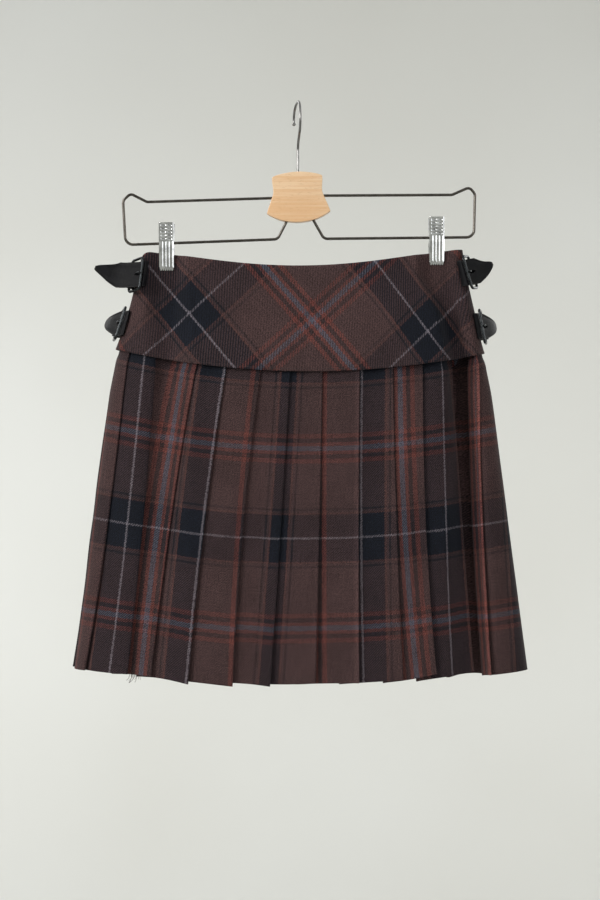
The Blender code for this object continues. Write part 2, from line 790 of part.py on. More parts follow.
def hole_cutter(name, start, end, radius, cutters):
    """A round cutter from start to end."""
    start, end = Vector(start), Vector(end)
    mesh = bpy.data.meshes.new(name)
    shape = bmesh.new()
    length = (end - start).length
    bmesh.ops.create_cone(
        shape, cap_ends=True, segments=16, radius1=radius * MM, radius2=radius * MM, depth=length * MM
    )
    shape.to_mesh(mesh)
    shape.free()
    cutter = add_object(name, mesh, None, cutters)
    cutter.location = (start + end) / 2 * MM
    cutter.rotation_mode = "QUATERNION"
    cutter.rotation_quaternion = (end - start).to_track_quat("Z", "Y")
    return cutter


def plate(collection, cutters):
    """The beech plate, drilled for the hook and for the four ends of the wire loops."""
    middle_z = (PLATE_OUTLINE[0].z + PLATE_OUTLINE[-1].z) / 2
    right = [(edge.x, edge.z - middle_z) for edge in PLATE_OUTLINE]
    left = [(-x, z) for x, z in right[-2:0:-1]]
    corners = right + left
    curve = bpy.data.curves.new("hanger_plate", "CURVE")
    curve.dimensions = "2D"
    curve.fill_mode = "BOTH"
    curve.extrude = PLATE_THICK / 2 * MM
    spline = curve.splines.new("POLY")
    outline = closed_curve(corners, 2)
    spline.points.add(len(outline) - 1)
    for point, (x, z) in zip(spline.points, outline):
        point.co = (x * MM, z * MM, 0.0, 1.0)
    spline.use_cyclic_u = True
    obj = add_object("hanger_plate", curve, BEECH, collection)
    obj.rotation_euler = (math.radians(90), math.radians(PLATE_TILT), 0)
    obj.location = (0, 0, middle_z * MM)
    bpy.context.view_layer.update()
    obj = as_mesh_object(obj, collection)
    round_over = obj.modifiers.new("Round over", "BEVEL")
    round_over.width = PLATE_EDGE * MM
    round_over.segments = 2
    round_over.limit_method = "ANGLE"
    round_over.angle_limit = math.radians(60)
    for name, corners in (("left", LOOP_LEFT), ("right", LOOP_RIGHT)):
        for label, inner, outer in (("top", 0, 1), ("foot", -1, -2)):
            inner = Vector((corners[inner].x, 0, corners[inner].z))
            outer = Vector((corners[outer].x, 0, corners[outer].z))
            way = (outer - inner).normalized()
            cutter = hole_cutter(
                f"plate_hole_{name}_{label}",
                inner - way * HOLE_DEPTH,
                inner + way * HOLE_CUTTER_LENGTH,
                LOOP_WIRE + HOLE_CLEARANCE,
                cutters,
            )
            cut_with(obj, cutter)
    foot = (0, 0, HOOK_FOOT - HOLE_DEPTH)
    top = (0, 0, HOOK_FOOT + HOLE_CUTTER_LENGTH)
    cut_with(obj, hole_cutter("plate_hole_stem", foot, top, HOOK_WIRE + HOLE_CLEARANCE, cutters))
    smooth(obj)


def closed_curve(corners, steps):
    """A smooth closed line through the corners, with this many steps from each to the next."""
    points = []
    count = len(corners)
    for i in range(count):
        p0, p1, p2, p3 = (Vector(corners[(i + k) % count]) for k in (-1, 0, 1, 2))
        for k in range(steps):
            t = k / steps
            point = 2 * p1 + (p2 - p0) * t
            point += (2 * p0 - 5 * p1 + 4 * p2 - p3) * t**2
            point += (3 * p1 - p0 - 3 * p2 + p3) * t**3
            points.append((point.x / 2, point.y / 2))
    return points


def clip_jaw(name, clip, side, collection, cutters):
    """One pressed jaw: a plate with side flanges that sit on the wire. side is -1 for the front jaw."""
    half = JAW_HALF_WIDTH
    wall = JAW_PLATE
    points, faces = [], []
    for row in JAW_ROWS:
        outer = row.out + wall / 2
        inner = row.out - wall / 2
        lip = inner - row.flange
        section = (
            (-half, outer),
            (half, outer),
            (half, lip),
            (half - wall, lip),
            (half - wall, inner),
            (-half + wall, inner),
            (-half + wall, lip),
            (-half, lip),
        )
        for x, out in section:
            points.append(Vector((clip.x + x, side * out, clip.wire_z + row.up)) * MM)
    count = 8
    for i in range(len(JAW_ROWS) - 1):
        for j in range(count):
            a, b = i * count + j, i * count + (j + 1) % count
            faces.append((a, b, b + count, a + count))
    last = (len(JAW_ROWS) - 1) * count
    faces.append(tuple(range(count)))
    faces.append(tuple(range(last, last + count)))
    mesh = bpy.data.meshes.new(name)
    mesh.from_pydata(points, [], faces)
    shape = bmesh.new()
    shape.from_mesh(mesh)
    bmesh.ops.recalc_face_normals(shape, faces=shape.faces)
    shape.to_mesh(mesh)
    shape.free()
    obj = add_object(name, mesh, CHROME, collection)
    reach = half + 3
    cutter = hole_cutter(
        name + "_hole",
        (clip.x - reach, 0, clip.wire_z),
        (clip.x + reach, 0, clip.wire_z),
        LOOP_WIRE + JAW_HOLE_CLEARANCE,
        cutters,
    )
    cut_with(obj, cutter)
    smooth(obj, 30)


def clip_spring(name, clip, collection):
    """The coil round the wire between the jaws, as a turned ring."""
    inner = LOOP_WIRE + SPRING_CLEARANCE
    profile = (
        (SPRING_OUTER, SPRING_HALF_LENGTH),
        (SPRING_OUTER, -SPRING_HALF_LENGTH),
        (inner, -SPRING_HALF_LENGTH),
        (inner, SPRING_HALF_LENGTH),
    )
    mesh = bpy.data.meshes.new(name)
    mesh.from_pydata([(r * MM, 0, z * MM) for r, z in profile], [(0, 1), (1, 2), (2, 3), (3, 0)], [])
    obj = add_object(name, mesh, CHROME, collection)
    turn = obj.modifiers.new("Turn", "SCREW")
    turn.steps = 16
    turn.render_steps = 16
    turn.use_merge_vertices = True
    turn.merge_threshold = 0.00001
    obj.rotation_euler.y = math.radians(90)
    obj.location = (clip.x * MM, 0, clip.wire_z * MM)


clear_scene()
parts = new_collection("kilt_skirt")
cutters = new_collection("cutters")

yoke_half("yoke_front", 0, parts)
yoke_half("yoke_back", 180, parts)
pleat_table = pleat_columns()
front_count = len(FRONT_FOLDS) + 1
pleats_half("pleats_front", pleat_table, 0, front_count, parts)
pleats_half("pleats_back", pleat_table, front_count, None, parts)
for each in BUCKLES:
    strap(each, parts, cutters)
    buckle_frame(each, parts)
    prong(each, parts)
    chape(each, parts)
hook(parts)
plate(parts, cutters)
wire_object("hanger_wire_left", bent_points(LOOP_LEFT), LOOP_WIRE, STEEL_WIRE, parts)
wire_object("hanger_wire_right", bent_points(LOOP_RIGHT), LOOP_WIRE, STEEL_WIRE, parts)
for each in CLIPS:
    clip_jaw(f"clip_{each.name}_front", each, -1, parts, cutters)
    clip_jaw(f"clip_{each.name}_back", each, 1, parts, cutters)
    clip_spring(f"clip_{each.name}_spring", each, parts)
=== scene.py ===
"""A pleated tartan kilt skirt with leather straps, hung by its waist from a wood and wire clip hanger.

Metres, +Z up. The origin is the inner top of the hanger's hook, the front faces -Y and +X is to the right
of someone who looks at the front. Sizes in the tables are millimetres, as a maker would note them.
"""

import bisect
import functools
import math
import random
from collections import namedtuple

import bmesh
import bpy
from mathutils import Matrix, Vector, noise


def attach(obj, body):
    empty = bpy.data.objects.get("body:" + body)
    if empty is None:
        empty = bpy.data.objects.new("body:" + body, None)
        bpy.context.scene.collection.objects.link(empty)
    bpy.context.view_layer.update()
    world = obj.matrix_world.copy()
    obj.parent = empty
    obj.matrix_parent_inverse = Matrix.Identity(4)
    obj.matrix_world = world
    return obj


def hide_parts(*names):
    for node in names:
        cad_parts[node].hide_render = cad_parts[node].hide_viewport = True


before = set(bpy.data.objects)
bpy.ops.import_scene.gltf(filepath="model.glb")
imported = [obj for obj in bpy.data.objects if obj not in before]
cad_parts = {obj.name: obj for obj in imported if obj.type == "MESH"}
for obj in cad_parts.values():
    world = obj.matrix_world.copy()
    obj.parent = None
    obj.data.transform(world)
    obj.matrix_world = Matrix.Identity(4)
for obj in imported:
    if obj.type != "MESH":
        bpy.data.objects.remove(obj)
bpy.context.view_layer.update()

MM = 0.001

# Camera, room and light
# The camera looks straight at the skirt from the height of its middle. A pale round room with a pale floor
# stands well outside every view, and large soft lamps light it, the stronger one from the left.
CAMERA_DISTANCE = 2.4
CAMERA_HEIGHT = -0.347
CAMERA_SIDE = 0.002
CAMERA_LENS = 96.0
ROOM_RADIUS = 6.0
ROOM_FLOOR = -3.6
ROOM_TOP = 5.0
ROOM_COVE = 0.8
ROOM_COVE_STEPS = 8
ROOM_SIDES = 64


def linear(red, green, blue):
    """A colour as the eye reads it, from 0 to 255, turned to the linear values that the shader takes."""
    values = []
    for value in (red, green, blue):
        share = value / 255
        values.append(share / 12.92 if share <= 0.04045 else ((share + 0.055) / 1.055) ** 2.4)
    return (*values, 1.0)


def add_object(name, data):
    obj = bpy.data.objects.new(name, data)
    bpy.context.scene.collection.objects.link(obj)
    return obj


def add_shape(name, shape):
    """An object from a shape built with bmesh, which is freed."""
    mesh = bpy.data.meshes.new(name)
    shape.to_mesh(mesh)
    shape.free()
    return add_object(name, mesh)


def new_material(name, colour, roughness, metallic=0.0):
    """A Principled material, its node tree and its shader."""
    made = bpy.data.materials.new(name)
    made.use_nodes = True
    shader = made.node_tree.nodes["Principled BSDF"]
    shader.inputs["Base Color"].default_value = colour
    shader.inputs["Roughness"].default_value = roughness
    shader.inputs["Metallic"].default_value = metallic
    return made, made.node_tree, shader


def smooth(obj, angle=40.0):
    obj.data.shade_smooth()
    obj.data.set_sharp_from_angle(angle=math.radians(angle))


camera_data = bpy.data.cameras.new("camera")
camera_data.lens = CAMERA_LENS
camera_data.sensor_width = 36.0
camera = add_object("camera", camera_data)
camera.location = (CAMERA_SIDE, -CAMERA_DISTANCE, CAMERA_HEIGHT)
camera.rotation_euler = (math.radians(90), 0, 0)
bpy.context.scene.camera = camera


def room():
    """The round room: a floor that curves up into its wall."""
    profile = [(0.0, ROOM_FLOOR), (ROOM_RADIUS - ROOM_COVE, ROOM_FLOOR)]
    for i in range(1, ROOM_COVE_STEPS + 1):
        turn = math.radians(90 * i / ROOM_COVE_STEPS)
        out = ROOM_RADIUS - ROOM_COVE + ROOM_COVE * math.sin(turn)
        profile.append((out, ROOM_FLOOR + ROOM_COVE - ROOM_COVE * math.cos(turn)))
    profile.append((ROOM_RADIUS, ROOM_TOP))
    shape = bmesh.new()
    points = [shape.verts.new((r, 0, z)) for r, z in profile]
    edges = [shape.edges.new(pair) for pair in zip(points, points[1:])]
    bmesh.ops.spin(
        shape, geom=points + edges, axis=(0, 0, 1), cent=(0, 0, 0), steps=ROOM_SIDES, angle=math.tau
    )
    bmesh.ops.remove_doubles(shape, verts=shape.verts, dist=0.0001)
    bmesh.ops.recalc_face_normals(shape, faces=shape.faces)
    bmesh.ops.reverse_faces(shape, faces=shape.faces)
    obj = add_shape("room", shape)
    smooth(obj)
    material, tree, shader = new_material("room paint", linear(215, 215, 211), 0.9)
    mottle = tree.nodes.new("ShaderNodeTexNoise")
    mottle.inputs["Scale"].default_value = 0.7
    ramp = tree.nodes.new("ShaderNodeValToRGB")
    ramp.color_ramp.elements[0].position = 0.3
    ramp.color_ramp.elements[0].color = linear(211, 211, 206)
    ramp.color_ramp.elements[1].position = 0.7
    ramp.color_ramp.elements[1].color = linear(219, 220, 217)
    place = tree.nodes.new("ShaderNodeTexCoord")
    tree.links.new(place.outputs["Object"], mottle.inputs["Vector"])
    tree.links.new(mottle.outputs["Fac"], ramp.inputs["Fac"])
    tree.links.new(ramp.outputs["Color"], shader.inputs["Base Color"])
    obj.data.materials.append(material)


def soft_lamp(name, place, target, size, power, colour):
    """A square lamp that faces its target and that the camera doesn't see."""
    data = bpy.data.lights.new(name, "AREA")
    data.shape = "SQUARE"
    data.size = size
    data.energy = power
    data.color = colour
    obj = add_object(name, data)
    obj.location = place
    aim = Vector(target) - Vector(place)
    obj.rotation_euler = aim.to_track_quat("-Z", "Y").to_euler()
    obj.visible_camera = False


room()
SKIRT_MIDDLE = (0.0, 0.0, CAMERA_HEIGHT)
soft_lamp("key lamp", (-2.3, -1.7, 0.75), SKIRT_MIDDLE, 1.5, 62.0, (1.0, 0.985, 0.96))
soft_lamp("fill lamp", (1.7, -2.4, 0.2), SKIRT_MIDDLE, 1.8, 17.0, (0.97, 0.985, 1.0))
soft_lamp("back lamp left", (-2.0, 2.4, 1.2), SKIRT_MIDDLE, 1.8, 22.0, (1.0, 1.0, 1.0))
soft_lamp("back lamp right", (2.2, 2.2, 0.6), SKIRT_MIDDLE, 1.8, 22.0, (1.0, 1.0, 1.0))
soft_lamp("wall lamp left", (-1.9, 3.2, -0.7), (-0.9, ROOM_RADIUS, -0.6), 1.2, 50.0, (1.0, 1.0, 1.0))
soft_lamp("wall lamp right", (1.5, 3.2, -1.0), (0.5, ROOM_RADIUS, -0.9), 1.6, 27.0, (1.0, 0.99, 0.98))
world = bpy.data.worlds.new("room light")
world.use_nodes = True
world.node_tree.nodes["Background"].inputs["Color"].default_value = linear(240, 241, 240)
world.node_tree.nodes["Background"].inputs["Strength"].default_value = 0.68
bpy.context.scene.world = world
bpy.context.scene.view_settings.view_transform = "Standard"

# Tartan cloth
# Wool woven in a 2/2 twill, with the same sequence of coloured yarns in the warp and in the weft. The
# sequence mirrors about a blue-grey stripe and about a thin pale line, and every piece of cloth carries its
# own map of where it was cut, in metres across and along the weave.
SETT = 88.0
PLEAT_WALE = 2.5
YOKE_WALE = 3.7
YARNS_IN_WALE = 4
STRAY_YARN = 3.2
STREAK_ACROSS = 760.0
STREAK_ALONG = 50.0
Stripe = namedtuple("Stripe", "name start colour")
SETT_STRIPES = (
    Stripe("blue grey", 0.0, (80, 80, 92)),
    Stripe("inner rust", 2.3, (103, 58, 53)),
    Stripe("inner dark", 5.6, (50, 38, 39)),
    Stripe("outer rust", 9.8, (99, 55, 50)),
    Stripe("brown", 14.2, (69, 51, 51)),
    Stripe("thin dark", 58.6, (38, 31, 34)),
    Stripe("brown gap", 60.6, (69, 51, 51)),
    Stripe("thin rust", 62.6, (80, 53, 50)),
    Stripe("navy", 64.8, (15, 19, 29)),
    Stripe("pale line", 86.8, (110, 105, 113)),
)


def node(tree, kind, inputs=None, **settings):
    """A new node with its settings and with its inputs set, or linked where the value is a socket."""
    made = tree.nodes.new(kind)
    for name, value in settings.items():
        setattr(made, name, value)
    for key, value in (inputs or {}).items():
        if isinstance(value, bpy.types.NodeSocket):
            tree.links.new(value, made.inputs[key])
        else:
            made.inputs[key].default_value = value
    return made


def maths(tree, operation, first, second=0.0, third=0.0):
    made = node(tree, "ShaderNodeMath", {0: first, 1: second, 2: third}, operation=operation)
    return made.outputs[0]


def between(tree, value, low, high, to_low=0.0, to_high=1.0):
    """The value moved smoothly from one range to another."""
    made = node(
        tree,
        "ShaderNodeMapRange",
        {"Value": value, "From Min": low, "From Max": high, "To Min": to_low, "To Max": to_high},
        interpolation_type="SMOOTHSTEP",
    )
    return made.outputs["Result"]


def mixed(tree, share, first, second, blend="MIX"):
    made = tree.nodes.new("ShaderNodeMix")
    made.data_type = "RGBA"
    made.blend_type = blend
    for key, value in ((0, share), (6, first), (7, second)):
        if isinstance(value, bpy.types.NodeSocket):
            tree.links.new(value, made.inputs[key])
        else:
            made.inputs[key].default_value = value
    return made.outputs[2]


def noise_at(tree, place, scale, detail):
    """Soft random patches from 0 to 1, this many to the metre."""
    made = node(tree, "ShaderNodeTexNoise", {"Vector": place, "Scale": scale, "Detail": detail})
    return made.outputs["Fac"]


def streaks_at(tree, place, scales, detail):
    """Random streaks from 0 to 1, this many to the metre along each axis."""
    mapping = node(tree, "ShaderNodeMapping", {0: place, 3: scales})
    return noise_at(tree, mapping.outputs[0], 1.0, detail)


def add_bump(tree, shader, height, strength, distance):
    made = node(tree, "ShaderNodeBump", {"Height": height, "Strength": strength, "Distance": distance})
    tree.links.new(made.outputs["Normal"], shader.inputs["Normal"])


def yarn_colour(tree, cloth, across):
    """The colour of the yarn at this place in the sett, each stripe's edge a little uneven."""
    stray = noise_at(tree, cloth, 640.0, 2.0)
    start = maths(tree, "SUBTRACT", across, STRAY_YARN * MM / 2)
    across = maths(tree, "MULTIPLY_ADD", stray, STRAY_YARN * MM, start)
    folded = maths(tree, "PINGPONG", across, SETT * MM)
    share = maths(tree, "DIVIDE", folded, SETT * MM)
    ramp = tree.nodes.new("ShaderNodeValToRGB")
    ramp.color_ramp.interpolation = "CONSTANT"
    steps = ramp.color_ramp.elements
    while len(steps) < len(SETT_STRIPES):
        steps.new(1.0)
    for step, stripe in zip(steps, SETT_STRIPES):
        step.position = stripe.start / SETT
        step.color = linear(*stripe.colour)
    tree.links.new(share, ramp.inputs["Fac"])
    return ramp.outputs["Color"]


def tartan_material(name, wale):
    """The twill: warp and weft yarns in turn on slanting ribs, each yarn rounded and a little uneven, with
    painted shade along the furrows between the ribs.
    """
    made, tree, shader = new_material(name, linear(78, 55, 55), 0.86)
    shader.inputs["Sheen Weight"].default_value = 0.07
    shader.inputs["Sheen Roughness"].default_value = 0.45
    shader.inputs["Sheen Tint"].default_value = (0.9, 0.88, 0.9, 1.0)
    shader.inputs["Specular IOR Level"].default_value = 0.22
    cloth = node(tree, "ShaderNodeUVMap", uv_map="cloth").outputs["UV"]
    parts = node(tree, "ShaderNodeSeparateXYZ", {0: cloth}).outputs
    warp_place, weft_place = parts["X"], parts["Y"]
    slant = maths(tree, "MULTIPLY", maths(tree, "SUBTRACT", warp_place, weft_place), math.tau / (wale * MM))
    rib = maths(tree, "SINE", slant)
    warp_over = between(tree, rib, -0.6, 0.6, 0.32, 0.86)
    weft_colour = yarn_colour(tree, cloth, weft_place)
    warp_colour = yarn_colour(tree, cloth, warp_place)
    colour = mixed(tree, warp_over, weft_colour, warp_colour)

    warp_streak = streaks_at(tree, cloth, (STREAK_ACROSS, STREAK_ALONG, 1.0), 2.0)
    weft_streak = streaks_at(tree, cloth, (STREAK_ALONG, STREAK_ACROSS, 1.0), 2.0)
    streak = node(tree, "ShaderNodeMix", {0: warp_over, 2: weft_streak, 3: warp_streak}).outputs[0]
    fleck = noise_at(tree, cloth, 820.0, 1.0)
    patchy = noise_at(tree, cloth, 22.0, 3.0)
    # Painted shade: the colour is darkened along the twill's furrows, as shade between the ribs would darken
    # it; the same wave also raises the bump.
    furrow_shade_and_relief = maths(tree, "COSINE", slant)
    bright = maths(tree, "MULTIPLY_ADD", streak, 1.3, -0.6)
    bright = maths(tree, "ADD", between(tree, fleck, 0.3, 0.7, 0.5, 1.34), bright)
    bright = maths(tree, "MULTIPLY_ADD", furrow_shade_and_relief, 0.17, bright)
    bright = maths(tree, "MULTIPLY", bright, between(tree, patchy, 0.3, 0.7, 0.9, 1.1))
    # Painted highlight: the colour is made up to 1.7 times as bright along the pleats' pressed fold edges, as
    # light caught on them would make it; the yoke's waist edge is made paler the same way.
    worn = node(tree, "ShaderNodeAttribute", attribute_name="worn").outputs["Fac"]
    bright = maths(tree, "MULTIPLY", bright, maths(tree, "MULTIPLY_ADD", worn, 0.7, 1.0))
    tone = node(tree, "ShaderNodeCombineColor", {0: bright, 1: bright, 2: bright})
    colour = mixed(tree, 1.0, colour, tone.outputs[0], "MULTIPLY")
    tree.links.new(colour, shader.inputs["Base Color"])

    rounds = []
    for place in (warp_place, weft_place):
        turn = maths(tree, "MULTIPLY", place, math.pi * YARNS_IN_WALE / (wale * MM))
        rounds.append(maths(tree, "ABSOLUTE", maths(tree, "SINE", turn)))
    yarns = node(tree, "ShaderNodeMix", {0: warp_over, 2: rounds[1], 3: rounds[0]}).outputs[0]
    relief = maths(tree, "MULTIPLY_ADD", furrow_shade_and_relief, 0.5, streak)
    add_bump(tree, shader, maths(tree, "MULTIPLY_ADD", yarns, 0.4, relief), 0.6, 0.00025)
    return made


TARTAN = tartan_material("tartan wool", PLEAT_WALE)
BIAS_TARTAN = tartan_material("tartan wool on the bias", YOKE_WALE)


def plain_mesh(obj):
    """Applies the object's modifiers, so that its mesh is what shows."""
    graph = bpy.context.evaluated_depsgraph_get()
    mesh = bpy.data.meshes.new_from_object(obj.evaluated_get(graph))
    mesh.name = obj.name
    obj.modifiers.clear()
    obj.data = mesh


def wall_object(name, rows, maps, thickness, material, worn=None, rounded=0.0, even=True):
    """A wall of cloth or leather round a grid of points in millimetres, with the place of each point on the
    flat piece. worn is a share for each point by which the colour is made paler: rubbed wear on
    leather edges, painted highlight on the pleats' fold edges. rounded is the radius of the wall's cut edges."""
    width = len(rows[0])
    points = [point * MM for row in rows for point in row]
    faces = []
    for i in range(len(rows) - 1):
        for j in range(width - 1):
            corner = i * width + j
            faces.append((corner, corner + width, corner + width + 1, corner + 1))
    mesh = bpy.data.meshes.new(name)
    mesh.from_pydata(points, [], faces)
    flat = [place for row in maps for place in row]
    layer = mesh.uv_layers.new(name="cloth")
    for loop in mesh.loops:
        across, along = flat[loop.vertex_index]
        layer.data[loop.index].uv = (across * MM, along * MM)
    if worn:
        attribute = mesh.attributes.new("worn", "FLOAT", "POINT")
        attribute.data.foreach_set("value", [share for row in worn for share in row])
    obj = add_object(name, mesh)
    mesh.materials.append(material)
    wall = obj.modifiers.new("Wall", "SOLIDIFY")
    wall.thickness = thickness * MM
    wall.offset = 0.0
    wall.use_even_offset = even
    if rounded:
        edges = obj.modifiers.new("Edges", "BEVEL")
        edges.width = rounded * MM
        edges.segments = 3
        edges.limit_method = "ANGLE"
        edges.angle_limit = math.radians(60)
    plain_mesh(obj)
    smooth(obj, 50)
    return obj


# The skirt's ring
# The skirt is a closed ring of cloth that two clips pinch flat. A place on it is given by an angle, 0 at
# the left side, 90 at the front's middle, 180 at the right side and 270 at the back's middle, and by a
# level, 0 at the waist edge, 1 at the pleat seam and 2 at the hem.
Level = namedtuple("Level", "name at left right front back square")
LEVELS = (
    Level("waist edge", 0.00, -156.0, 163.5, 10.5, 10.5, 8.0),
    Level("clip foot", 0.20, -159.5, 166.5, 13.0, 13.0, 7.0),
    Level("hip", 0.55, -167.0, 174.5, 24.0, 25.0, 5.0),
    Level("pleat seam", 1.00, -181.5, 185.7, 36.0, 38.0, 4.0),
    Level("thigh", 1.50, -203.0, 206.5, 43.0, 46.0, 4.0),
    Level("hem", 2.00, -225.8, 227.8, 50.0, 54.0, 4.0),
)
Edge = namedtuple("Edge", "name at left right sag power")
EDGES = (
    Edge("waist edge", 0.0, -149.0, -147.0, 15.3, 3.0),
    Edge("pleat seam", 1.0, -247.0, -251.0, 20.5, 2.0),
    Edge("hem", 2.0, -564.0, -566.0, 12.0, 2.0),
)
Hollow = namedtuple("Hollow", "at x front back flat fall")
HOLLOWS = {
    "left": (
        Hollow(0.00, -131.2, 1.00, 1.00, 9.0, 13.0),
        Hollow(0.20, -131.2, 1.00, 1.00, 9.0, 13.0),
        Hollow(0.55, -130.0, 0.62, 0.62, 4.0, 22.0),
        Hollow(1.00, -127.0, 0.36, 0.36, 0.0, 30.0),
        Hollow(2.00, -146.0, 0.12, 0.12, 0.0, 36.0),
    ),
    "right": (
        Hollow(0.00, 138.5, 1.00, 1.00, 9.0, 13.0),
        Hollow(0.20, 139.0, 1.00, 1.00, 9.0, 13.0),
        Hollow(0.55, 151.5, 0.95, 0.62, 4.0, 13.0),
        Hollow(1.00, 161.0, 0.78, 0.36, 3.0, 15.0),
        Hollow(2.00, 174.0, 0.34, 0.12, 0.0, 28.0),
    ),
}
CLIPPED_HALF_GAP = 1.25
WAIST_CORNER_DROP = 11.0
WAIST_CORNER_ANGLE = 20.0
WAIST_CORNER_LEVELS = 0.3
SIDE_GAP = 0.8
RING_SAMPLES = 720


def smooth_value(rows, column, at):
    """A column of the rows, read at a level along a curve that passes through every row."""
    places = [row.at for row in rows]
    values = [getattr(row, column) for row in rows]
    at = min(max(at, places[0]), places[-1])
    i = min(max(bisect.bisect_right(places, at) - 1, 0), len(rows) - 2)

    def slope(k):
        low, high = max(k - 1, 0), min(k + 1, len(rows) - 1)
        return (values[high] - values[low]) / (places[high] - places[low])

    span = places[i + 1] - places[i]
    t = (at - places[i]) / span
    start, end = slope(i) * span, slope(i + 1) * span
    return (
        (2 * t**3 - 3 * t**2 + 1) * values[i]
        + (t**3 - 2 * t**2 + t) * start
        + (3 * t**2 - 2 * t**3) * values[i + 1]
        + (t**3 - t**2) * end
    )


def straight_value(rows, column, at):
    """A column of the rows, read along straight lines from row to row."""
    at = min(max(at, rows[0].at), rows[-1].at)
    for low, high in zip(rows, rows[1:]):
        if at <= high.at:
            break
    share = (at - low.at) / (high.at - low.at)
    return getattr(low, column) + share * (getattr(high, column) - getattr(low, column))


def ease(share):
    share = min(max(share, 0.0), 1.0)
    return share * share * (3 - 2 * share)


class Sizes:
    """What the tables say at one level, read once."""

    def __init__(self, at):
        self.at = at
        self.left = smooth_value(LEVELS, "left", at)
        self.right = smooth_value(LEVELS, "right", at)
        self.depth = {face: smooth_value(LEVELS, face, at) for face in ("front", "back")}
        self.square = smooth_value(LEVELS, "square", at)
        self.hollows = []
        for rows in HOLLOWS.values():
            flat, fall = straight_value(rows, "flat", at), straight_value(rows, "fall", at)
            pinch = {face: smooth_value(rows, face, at) for face in ("front", "back")}
            self.hollows.append((smooth_value(rows, "x", at), flat, fall, pinch))
        self.side_left = straight_value(EDGES, "left", at)
        self.side_right = straight_value(EDGES, "right", at)
        self.sag = straight_value(EDGES, "sag", at)
        self.power = straight_value(EDGES, "power", at)


def ring_point(angle, sizes):
    """The middle of the cloth at an angle round the ring, in millimetres."""
    across = -math.cos(math.radians(angle))
    towards = math.sin(math.radians(angle))
    face = "front" if towards >= 0 else "back"
    x = (sizes.left + sizes.right) / 2 + (sizes.right - sizes.left) / 2 * across
    depth = sizes.depth[face] * math.sqrt(max(1 - abs(across) ** sizes.square, 0.0))
    for place, flat, fall, pinch in sizes.hollows:
        near = 1 - ease((abs(x - place) - flat) / fall)
        floor = min(depth, CLIPPED_HALF_GAP)
        depth = floor + (depth - floor) * (1 - near * pinch[face])
    side = sizes.side_left * (1 - across) / 2 + sizes.side_right * (1 + across) / 2
    z = side - sizes.sag * abs(towards) ** sizes.power
    from_left = min(angle, 360 - angle) / WAIST_CORNER_ANGLE
    z -= WAIST_CORNER_DROP * max(1 - from_left, 0.0) ** 2 * max(1 - sizes.at / WAIST_CORNER_LEVELS, 0.0)
    return Vector((x, -depth if towards >= 0 else depth, z))


class Ring:
    """The ring at one level, pinched by the clips or free, read by the distance from its left side."""

    def __init__(self, at, pinched=True):
        self.at = at
        self.sizes = Sizes(at)
        if not pinched:
            self.sizes.hollows = []
        step = 360 / RING_SAMPLES
        self.angles = [i * step for i in range(RING_SAMPLES + 1)]
        self.points = [ring_point(angle % 360, self.sizes) for angle in self.angles]
        self.lengths = [0.0]
        for a, b in zip(self.points, self.points[1:]):
            self.lengths.append(self.lengths[-1] + math.hypot(b.x - a.x, b.y - a.y))
        self.whole = self.lengths[-1]

    def angle_at(self, length):
        turns, rest = divmod(length, self.whole)
        i = min(max(bisect.bisect_right(self.lengths, rest) - 1, 0), RING_SAMPLES - 1)
        share = (rest - self.lengths[i]) / (self.lengths[i + 1] - self.lengths[i])
        return 360 * turns + self.angles[i] + share * (self.angles[i + 1] - self.angles[i])

    def length_at(self, angle):
        i = min(int(angle / 360 * RING_SAMPLES), RING_SAMPLES - 1)
        share = (angle - self.angles[i]) / (self.angles[i + 1] - self.angles[i])
        return self.lengths[i] + share * (self.lengths[i + 1] - self.lengths[i])

    def length_at_x(self, x, on_front):
        """The distance to where the front or the back crosses x."""
        half = RING_SAMPLES // 2
        first, way = (0, 1) if on_front else (half, -1)
        for i in range(first, first + half):
            if way * (self.points[i + 1].x - x) >= 0:
                share = (x - self.points[i].x) / (self.points[i + 1].x - self.points[i].x)
                return self.lengths[i] + share * (self.lengths[i + 1] - self.lengths[i])
        return self.lengths[first + half]

    def place(self, length, inward):
        """A point at this distance along the ring, moved in from the cloth's middle."""
        angle = self.angle_at(length)
        point = ring_point(angle % 360, self.sizes)
        before = ring_point(self.angle_at(length - 1.5) % 360, self.sizes)
        after = ring_point(self.angle_at(length + 1.5) % 360, self.sizes)
        along = Vector((after.x - before.x, after.y - before.y, 0)).normalized()
        return point + inward * Vector((-along.y, along.x, 0))


# Pleats
# One straight width of tartan for the front and one for the back, pressed into knife pleats that all turn
# to the same side, so that each fold lies over the next, and caught at the top in the seam of the yoke.

